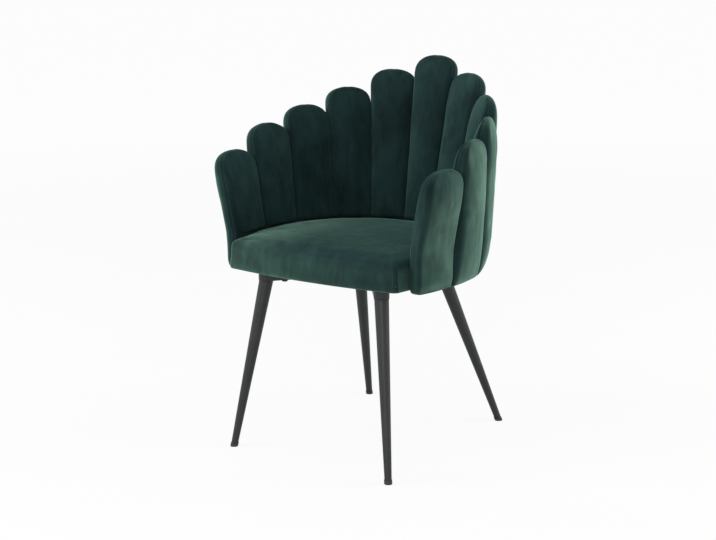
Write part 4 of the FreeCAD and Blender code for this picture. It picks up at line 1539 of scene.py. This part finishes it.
            # Painted light and shade: the sides and front painted paler towards -X, the top dark but for a
            # pale stretch towards -X, and a darker band painted along the front roll.
            leftward = (sizes.corner_x - flat[:, 0]) / (2 * sizes.corner_x)
            top_painted_light = 0.06 * leftward + 0.85 * eased((leftward - 0.54) / 0.42)
            painted_light = (0.72 + 0.28 * leftward) * (1 - share) + top_painted_light * share
            painted_light -= 0.10 * hump(above, 0.060, 0.008)
            loose = eased(above / 0.02) * np.where(above > 0.064, 1.0, front)
            room = np.minimum(sizes.room, 0.0015 + 0.06 * np.maximum(0.0, above - 0.01))
            height = height - droop * eased((above - 0.004) / 0.02)
            data.append(np.column_stack([flat[:, 0], flat[:, 1] + self.shift, height,
                                         np.full(len(flat), 1.0), firm, painted_light, loose, room]))
        bottom, crown = data[0].mean(0), data[-1].mean(0)
        bottom[:2] = crown[:2] = (0.0, sizes.centre_y + self.shift)
        crown[2] = sizes.bottom_z + sizes.edge_height + sizes.crown
        table = np.concatenate(data + [bottom[None], crown[None]])
        faces = ring_faces(len(data), len(outline))
        return Skin(table[:, :3], faces, *table[:, 3:].T)

    def calm(self, skin: Skin) -> None:
        """Draw the crown to one smooth surface, so that no pucker runs in from the front corners.

        Args:
            skin: the cushion's skin, whose heights are changed.
        """
        columns = len(self.outline()[0])
        crown = np.append(np.arange(self.CROWN_FROM * columns, len(skin.verts) - 2), len(skin.verts) - 1)
        share = eased((crown // columns - self.CROWN_FROM) / self.CALM_ROWS)
        centre = (0.0, self.sizes.centre_y + self.shift)
        across, along = ((skin.verts[crown, :2] - centre) / self.sizes.oval).T
        terms = np.column_stack([across ** power * along ** other for power in range(self.CALM_POWER + 1)
                                 for other in range(self.CALM_POWER + 1 - power)])
        even = np.sqrt(np.hypot(across, along) + self.CALM_MIDDLE)
        fit = np.linalg.lstsq(terms * even[:, None], skin.verts[crown, 2] * even, rcond=None)[0]
        skin.verts[crown, 2] = skin.verts[crown, 2] * (1 - share) + terms @ fit * share

    def build(self, velvet: bpy.types.Material) -> None:
        """Make, stuff and place the cushion.

        Args:
            velvet: the cover's material.
        """
        skin = self.skin()
        Upholsterer(1.6, 16).swell([skin])
        self.calm(skin)
        piece = MeshKit.skinned("velvet_seat", skin)
        verts = MeshKit.read(piece)
        sizes = self.sizes
        soft = noise_at(verts, sizes.soft_scale)
        fine = noise_at(verts, sizes.fine_scale)
        move = (sizes.soft_height * soft + sizes.fine_height * fine) * MeshKit.marks(piece, "loose")
        MeshKit.write(piece, verts + MeshKit.normals(piece) * move[:, None])
        MeshKit.dress(piece, velvet)
        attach(piece, BODY)
        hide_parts("seat_cover", "seat_foam")
        LOG.info("%s: %d faces", piece.name, len(piece.data.polygons))


@dataclass(frozen=True)
class LegSizes:
    """Sizes of what holds the legs to the seat."""

    rows: tuple[tuple[str, tuple[float, float], tuple[float, float]], ...] = (
        ("front", (0.208, -0.251), (0.149, -0.193)), ("back", (0.186, 0.251), (0.109, 0.092)))
    top_z: float = 0.404
    plate_z: float = 0.378
    plate_top: float = 0.403
    outer_end: float = 0.0165
    inner_end: float = 0.110
    half_width: float = 0.0165
    corner: float = 0.0155
    press_radius: float = 0.0026
    sheet: float = 0.0025
    boss: float = 0.0078
    weld_ring: float = 0.0152
    weld: float = 0.0013
    bolt_shares: tuple[float, float] = (0.38, 0.84)
    hex_radius: float = 0.0029
    socket: float = 0.003
    bolt_end: float = 0.420
    head: float = 0.0055
    head_flat: float = 0.0050
    head_rings: tuple[tuple[float, float], ...] = ((0.0058, 0.0004), (0.0063, 0.0011), (0.0065, 0.0020))
    rim: float = 0.0004
    rim_radius: float = 0.0063
    shank_radius: float = 0.0040
    tip: float = 0.0010
    tip_radius: float = 0.0034

    def line(self, row: int, shift: float) -> tuple[np.ndarray, np.ndarray]:
        """Where a right-hand leg meets its bracket, in plan, and the way to the chair's middle.

        Args:
            row: 0 for the front leg, 1 for the back leg.
            shift: how far the chair is moved in Y.

        Returns:
            The place and a unit vector.
        """
        _, foot, top = self.rows[row]
        start = np.array(foot) + (np.array(top) - np.array(foot)) * (self.plate_z / self.top_z)
        return start + np.array([0.0, shift]), -start / np.linalg.norm(start)

    def bolts(self, shift: float) -> list[np.ndarray]:
        """Plan places of the right-hand bolts.

        Args:
            shift: how far the chair is moved in Y.

        Returns:
            The places, the front leg's first.
        """
        lines = [self.line(row, shift) for row in range(len(self.rows))]
        return [start + inwards * self.inner_end * share
                for start, inwards in lines for share in self.bolt_shares]


@dataclass
class LegMounts:
    """Pressed brackets with their welds, and the socket-head bolts that hold them."""

    sizes: LegSizes = field(default_factory=LegSizes)
    shift: float = 0.0

    def bracket(self, row: int) -> bpy.types.Object:
        """A right-hand bracket: a box rounded at its ends, opened, given its wall and its bosses.

        Args:
            row: 0 for the front leg's, 1 for the back leg's.

        Returns:
            The finished bracket.
        """
        sizes = self.sizes
        start, inwards = sizes.line(row, self.shift)
        middle = start + inwards * (sizes.inner_end - sizes.outer_end) / 2
        name = f"leg_bracket_{sizes.rows[row][0]}_right"
        piece = MeshKit.begin(name)
        height = sizes.plate_top - sizes.plate_z
        bpy.ops.mesh.primitive_cube_add(
            size=1.0, location=(*middle, sizes.plate_z + height / 2),
            rotation=(0.0, 0.0, math.atan2(inwards[1], inwards[0])),
            scale=(sizes.inner_end + sizes.outer_end, 2 * sizes.half_width, height))
        MeshKit.pick_edges(piece, lambda way, place: abs(way[2]) > 0.9)
        bpy.ops.mesh.bevel(offset=sizes.corner, offset_type="OFFSET", segments=12)
        limit = sizes.inner_end - 0.55 * sizes.corner
        MeshKit.pick_faces(piece, lambda way, place: way[2] > 0.9 or (
            abs(way[2]) < 0.1 and float((place[:2] - start) @ inwards) > limit))
        bpy.ops.mesh.delete(type="FACE")
        MeshKit.pick_edges(piece, lambda way, place: abs(way[2]) < 0.1 and place[2] < sizes.plate_z + 0.0001
                           and float((place[:2] - start) @ inwards) < limit)
        bpy.ops.mesh.bevel(offset=sizes.press_radius, offset_type="OFFSET", segments=4)
        bpy.ops.object.mode_set(mode="OBJECT")
        wall = piece.modifiers.new("wall", "SOLIDIFY")
        wall.thickness = sizes.sheet
        wall.offset = -1.0
        wall.use_even_offset = True
        MeshKit.finish(piece, wall)
        bpy.ops.object.mode_set(mode="EDIT")
        for share in sizes.bolt_shares:
            place = start + inwards * sizes.inner_end * share
            bpy.ops.mesh.primitive_cylinder_add(
                vertices=32, radius=sizes.boss, depth=height - sizes.sheet,
                location=(*place, sizes.plate_top - (height - sizes.sheet) / 2))
        bpy.ops.mesh.primitive_torus_add(
            major_radius=sizes.weld_ring, minor_radius=sizes.weld, major_segments=64,
            minor_segments=12, location=(*start, sizes.plate_z - 0.0002))
        bpy.ops.object.mode_set(mode="OBJECT")
        bpy.ops.object.shade_smooth_by_angle(angle=math.radians(35))
        return piece

    def bolt(self, place: np.ndarray) -> bpy.types.Object:
        """One button-head bolt: rings drawn up from its rounded head to its shank, and a hexagon socket.

        Args:
            place: the bolt's axis, in plan.

        Returns:
            The bolt.
        """
        sizes = self.sizes
        top = sizes.plate_z
        low = top - sizes.head
        rings = [(wide, low + rise) for wide, rise in sizes.head_rings]
        rings += [(sizes.head_rings[-1][0], top - sizes.rim), (sizes.rim_radius, top),
                  (sizes.shank_radius, top), (sizes.shank_radius, sizes.bolt_end - sizes.tip),
                  (sizes.tip_radius, sizes.bolt_end)]
        piece = MeshKit.begin("leg_bolt_set")
        radius, height = sizes.head_flat, low
        bpy.ops.mesh.primitive_circle_add(vertices=36, radius=radius, fill_type="NOTHING",
                                          location=(*place, height))
        for wider, higher in rings:
            bpy.ops.mesh.extrude_region_move(TRANSFORM_OT_translate={"value": (0.0, 0.0, higher - height)})
            bpy.ops.transform.resize(value=(wider / radius, wider / radius, 1.0),
                                     center_override=(*place, higher))
            radius, height = wider, higher
        bpy.ops.mesh.edge_face_add()
        bpy.ops.mesh.select_all(action="DESELECT")
        bpy.ops.mesh.primitive_circle_add(vertices=6, radius=sizes.hex_radius, fill_type="NOTHING",
                                          location=(*place, low))
        MeshKit.pick_edges(piece, lambda way, spot: spot[2] < low + 0.0001 and abs(way[2]) < 0.1)
        bpy.ops.mesh.bridge_edge_loops()
        MeshKit.pick_edges(piece, lambda way, spot: spot[2] < low + 0.0001 and abs(way[2]) < 0.1 and
                           math.hypot(*(spot[:2] - place)) < sizes.hex_radius * 0.9)
        bpy.ops.mesh.extrude_region_move(TRANSFORM_OT_translate={"value": (0.0, 0.0, sizes.socket)})
        bpy.ops.mesh.edge_face_add()
        bpy.ops.mesh.select_all(action="SELECT")
        bpy.ops.mesh.normals_make_consistent(inside=False)
        bpy.ops.object.mode_set(mode="OBJECT")
        return piece

    def build(self, paint: bpy.types.Material, steel: bpy.types.Material) -> None:
        """Make every bracket and every bolt.

        Args:
            paint: the legs' coat.
            steel: the bolts' black steel.
        """
        for row, (row_name, _, _) in enumerate(self.sizes.rows):
            right = self.bracket(row)
            left = MeshKit.copied(right, f"leg_bracket_{row_name}_left", [(-1.0, np.zeros(3))])
            for side, piece in (("right", right), ("left", left)):
                MeshKit.dress(piece, paint)
                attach(piece, BODY)
                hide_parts(f"leg_plate_{row_name}_{side}")
        places = self.sizes.bolts(self.shift)
        first = self.bolt(places[0])
        moves = []
        for place in places:
            step = np.array([*(place - places[0]), 0.0])
            moves += [(1.0, step), (-1.0, step * np.array([-1.0, 1.0, 1.0]))]
        bolts = MeshKit.copied(first, "leg_bolt_set_all", moves)
        bpy.data.objects.remove(first)
        MeshKit.only(bolts)
        bpy.ops.object.shade_smooth_by_angle(angle=math.radians(30))
        MeshKit.dress(bolts, steel)
        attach(bolts, BODY)
        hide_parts("leg_bolts")
        LOG.info("brackets and %d bolts", len(moves))


@dataclass
class Underside:
    """The black cloth under the seat, with its turned-in hem, and the staples that hold it."""

    cushion: SeatCushion
    shift: float = 0.0
    margin: float = 0.007
    hem: float = 0.013
    low_z: float = 0.4030
    high_z: float = 0.4039
    ring_shares: tuple[float, ...] = (0.03, 0.08, 0.16, 0.28, 0.42, 0.6, 0.8)
    wave_height: float = 0.00022
    wave_scale: float = 26.0
    staples: int = 46
    staple_place: float = 0.45
    staple_size: Triple = (0.0105, 0.0011, 0.0007)
    staple_sunk: float = 0.00008
    staple_swing: tuple[float, float] = (0.12, 2.4)

    def plan(self) -> tuple[np.ndarray, np.ndarray, float]:
        """The cushion's plan, which the cloth's edge follows.

        Returns:
            The outline's points, its centre, and how far the front corners lie before the centre.
        """
        sizes = self.cushion.sizes
        outline, _ = self.cushion.outline()
        return outline, np.array([0.0, sizes.centre_y]), sizes.centre_y - sizes.corner_y

    def cloth(self, material: bpy.types.Material) -> None:
        """The stretched cloth: a thin skin, doubled along its hem and a little uneven between staples.

        Args:
            material: the non-woven cloth.
        """
        outline, centre, reach = self.plan()
        hem_end = self.margin + self.hem
        under = [(self.margin, 0.00020), (self.margin + 0.0006, 0.0),
                 (hem_end - 0.0008, 0.0), (hem_end, 0.0004)]
        under += [(hem_end + (reach - hem_end) * share, 0.0004) for share in self.ring_shares]
        over = [(inset, self.high_z - self.low_z) for inset, _ in reversed(under)]
        rings = []
        for number, (inset, rise) in enumerate(under[::-1] + over[::-1]):
            flat = centre + (outline - centre) * max(0.02, 1 - inset / reach)
            height = np.full(len(flat), self.low_z + rise)
            if number < len(under):
                wave = np.array([noise.noise(Vector((x * self.wave_scale, y * self.wave_scale, 0.3)))
                                 for x, y in flat.tolist()])
                height += self.wave_height * np.maximum(0.0, wave)
            rings.append(np.column_stack([flat[:, 0], flat[:, 1] + self.shift, height]))
        poles = np.array([[0.0, centre[1] + self.shift, self.low_z + 0.0004],
                          [0.0, centre[1] + self.shift, self.high_z]])
        piece = MeshKit.piece("dust_cloth_sheet", np.concatenate(rings + [poles]),
                              ring_faces(len(rings), len(outline)))
        MeshKit.outward(piece)
        MeshKit.dress(piece, material)
        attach(piece, BODY)
        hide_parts("dust_cover")

    def staple_row(self, material: bpy.types.Material) -> None:
        """Staples along the hem, modelled once and copied.

        Args:
            material: the staples' metal.
        """
        outline, centre, reach = self.plan()
        edge = centre + (outline - centre) * (1 - (self.margin + self.staple_place * self.hem) / reach)
        edge = np.concatenate([edge, edge[:1]])
        places = np.concatenate([[0.0], np.cumsum(np.linalg.norm(np.diff(edge, axis=0), axis=1))])
        first = MeshKit.begin("one_staple")
        bpy.ops.mesh.primitive_cube_add(size=1.0, location=(0.0, 0.0, 0.0), scale=self.staple_size)
        MeshKit.pick_edges(first, lambda way, place: place[2] < -0.0002)
        bpy.ops.mesh.bevel(offset=0.00025, segments=2)
        bpy.ops.object.mode_set(mode="OBJECT")
        moves = []
        swing, pace = self.staple_swing
        for number in range(self.staples):
            at = places[-1] * (number + 0.5) / self.staples
            spot = np.array([np.interp(at, places, edge[:, axis]) for axis in (0, 1)])
            ahead = np.array([np.interp(at + 0.002, places, edge[:, axis]) for axis in (0, 1)])
            turn = math.atan2(*(ahead - spot)[::-1]) + swing * math.sin(pace * number)
            moves.append((turn, np.array([spot[0], spot[1] + self.shift, self.low_z - self.staple_sunk])))
        staples = MeshKit.turned(first, "dust_cloth_staples", moves)
        bpy.data.objects.remove(first)
        MeshKit.dress(staples, material)
        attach(staples, BODY)

    def build(self, cloth: bpy.types.Material, zinc: bpy.types.Material) -> None:
        """Make the cloth and its staples.

        Args:
            cloth: the non-woven cloth.
            zinc: the staples' metal.
        """
        self.cloth(cloth)
        self.staple_row(zinc)
        LOG.info("underside done")


@dataclass
class Studio:
    """Camera, lamps, floor and pale surroundings."""

    eye: Triple = (1.766, -2.5864, 1.059)
    target: Triple = (-0.045, -0.0064, 0.379)
    lens: float = 71.63
    sensor: float = 36.0
    surround: float = 0.50
    floor_size: float = 400.0
    floor_z: float = -0.0004
    floor_stops: tuple[tuple[float, Triple], ...] = ((0.3, (0.90, 0.90, 0.90)), (0.7, (0.93, 0.93, 0.93)))
    floor_glow: float = 0.88
    glow_strength: tuple[float, float] = (1.0, 1.062)
    glow_reach: tuple[float, float] = (0.8, 6.0)
    lamps: tuple[tuple[str, Triple, Triple, float, float], ...] = (
        ("left_softbox", (-2.4, -2.6, 2.0), (0.0, 0.0, 0.45), 1.8, 76.0),
        ("right_softbox", (2.5, 1.6, 1.5), (0.0, 0.0, 0.5), 1.6, 50.0),
        ("overhead_softbox", (0.0, -0.4, 3.2), (0.0, 0.0, 0.5), 2.0, 10.0),
        ("front_fill", (1.3, -3.0, 1.3), (0.0, 0.0, 0.45), 2.0, 29.0))

    def camera(self) -> None:
        """Put the camera where the photograph was taken from."""
        data = bpy.data.cameras.new("studio_camera")
        data.lens = self.lens
        data.sensor_width = self.sensor
        camera = bpy.data.objects.new("studio_camera", data)
        camera.location = self.eye
        way = Vector(self.target) - Vector(self.eye)
        camera.rotation_euler = way.to_track_quat("-Z", "Y").to_euler()
        bpy.context.scene.collection.objects.link(camera)
        bpy.context.scene.camera = camera

    def lamp(self, name: str, place: Triple, aim: Triple, size: float, power: float) -> None:
        """Add a soft lamp.

        Args:
            name: the lamp's name.
            place: where it stands.
            aim: the point that it lights.
            size: its side length.
            power: its power in watts.
        """
        data = bpy.data.lights.new(name, "AREA")
        data.shape = "SQUARE"
        data.size = size
        data.energy = power
        lamp = bpy.data.objects.new(name, data)
        lamp.location = place
        lamp.rotation_euler = (Vector(aim) - Vector(place)).to_track_quat("-Z", "Y").to_euler()
        bpy.context.scene.collection.objects.link(lamp)

    def surroundings(self) -> None:
        """Even pale light from all round, white to the camera and in reflections."""
        world = bpy.data.worlds.new("pale_room")
        bpy.context.scene.world = world
        world.use_nodes = True
        tree = world.node_tree
        tree.nodes.clear()
        out = tree.nodes.new("ShaderNodeOutputWorld")
        dim = tree.nodes.new("ShaderNodeBackground")
        dim.inputs["Strength"].default_value = self.surround
        white = tree.nodes.new("ShaderNodeBackground")
        white.inputs["Color"].default_value = (1.0, 1.0, 1.0, 1.0)
        path = tree.nodes.new("ShaderNodeLightPath")
        seen = tree.nodes.new("ShaderNodeMath")
        seen.operation = "MAXIMUM"
        tree.links.new(path.outputs["Is Camera Ray"], seen.inputs[0])
        tree.links.new(path.outputs["Is Transmission Ray"], seen.inputs[1])
        bright = tree.nodes.new("ShaderNodeMath")
        bright.operation = "MAXIMUM"
        tree.links.new(seen.outputs[0], bright.inputs[0])
        tree.links.new(path.outputs["Is Glossy Ray"], bright.inputs[1])
        mix = tree.nodes.new("ShaderNodeMixShader")
        tree.links.new(bright.outputs[0], mix.inputs[0])
        tree.links.new(dim.outputs[0], mix.inputs[1])
        tree.links.new(white.outputs[0], mix.inputs[2])
        tree.links.new(mix.outputs[0], out.inputs["Surface"])

    def floor(self) -> None:
        """A wide pale floor that keeps a soft shadow."""
        bpy.ops.mesh.primitive_plane_add(size=self.floor_size, location=(0.0, 0.0, self.floor_z))
        floor = bpy.context.active_object
        floor.name = "studio_floor"
        sheet = NodeSheet("pale_floor")
        grain = sheet.noise(Grain(3.0, 2.0))
        sheet.join(sheet.ramp(grain, "Fac", self.floor_stops), "Color", sheet.shader, "Base Color")
        sheet.set(Roughness=0.9, Specular_IOR_Level=0.0)
        glow = sheet.tree.nodes.new("ShaderNodeEmission")
        away = sheet.tree.nodes.new("ShaderNodeVectorMath")
        away.operation = "LENGTH"
        sheet.join(sheet.place, "Object", away, 0)
        far = sheet.ranged(away, "Value", *self.glow_strength)
        far.inputs["From Min"].default_value, far.inputs["From Max"].default_value = self.glow_reach
        sheet.join(far, "Result", glow, "Strength")
        path = sheet.tree.nodes.new("ShaderNodeLightPath")
        seen = sheet.maths("MAXIMUM", (path, "Is Camera Ray"), (path, "Is Transmission Ray"))
        share = sheet.maths("MULTIPLY", (seen, "Value"), self.floor_glow)
        mix = sheet.tree.nodes.new("ShaderNodeMixShader")
        sheet.tree.links.new(share.outputs[0], mix.inputs[0])
        sheet.tree.links.new(sheet.shader.outputs[0], mix.inputs[1])
        sheet.tree.links.new(glow.outputs[0], mix.inputs[2])
        sheet.tree.links.new(mix.outputs[0], sheet.output.inputs["Surface"])
        floor.data.materials.append(sheet.material)

    def build(self) -> None:
        """Set the whole studio up."""
        bpy.context.scene.view_settings.view_transform = "Standard"
        self.camera()
        self.surroundings()
        self.floor()
        for values in self.lamps:
            self.lamp(*values)


@dataclass
class CarriedParts:
    """The pieces that keep their exact form and only get a finish."""

    def build(self, materials: dict[Slot, bpy.types.Material]) -> None:
        """Dress every carried-over piece by its slot in the record.

        Args:
            materials: the material of each slot.
        """
        for entry in frame["record"]["subparts"]:
            piece = frame["nodes"][entry["node"]]
            material = materials[Slot(entry["material_slot"])]
            MeshKit.dress(piece, material)


def materials() -> dict[Slot, bpy.types.Material]:
    """Every finish by its slot.

    Returns:
        The materials.
    """
    return {
        Slot.VELVET: VelvetFinish().build(),
        Slot.FOAM: replace(RAW_PLYWOOD, name="foam_stand_in").build(),
        Slot.PLYWOOD: RAW_PLYWOOD.build(),
        Slot.DUST_CLOTH: DustClothFinish().build(),
        Slot.ZINC: ZINC_PLATE.build(),
        Slot.BLACK_STEEL: BLACK_OXIDE.build(),
        Slot.LEG_PAINT: POWDER_COAT.build(),
        Slot.FOOT_PLASTIC: MOULDED_BLACK.build(),
    }


def main() -> None:
    """Build the chair's looks in order."""
    logging.basicConfig(level=logging.INFO, format="%(name)s %(message)s")
    seat_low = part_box("seat_cover")[0]
    sizes = SeatSizes()
    shift = seat_low.y - (sizes.corner_y - sizes.front_bow)
    finishes = materials()
    CarriedParts().build(finishes)
    shell = ChannelShell(shift=shift)
    shell.build(finishes[Slot.VELVET])
    cushion = SeatCushion(shell.sizes.low, sizes, shift)
    cushion.build(finishes[Slot.VELVET])
    LegMounts(shift=shift).build(finishes[Slot.LEG_PAINT], finishes[Slot.BLACK_STEEL])
    Underside(cushion, shift).build(finishes[Slot.DUST_CLOTH], finishes[Slot.ZINC])
    Studio().build()


if __name__ == "__main__":
    main()
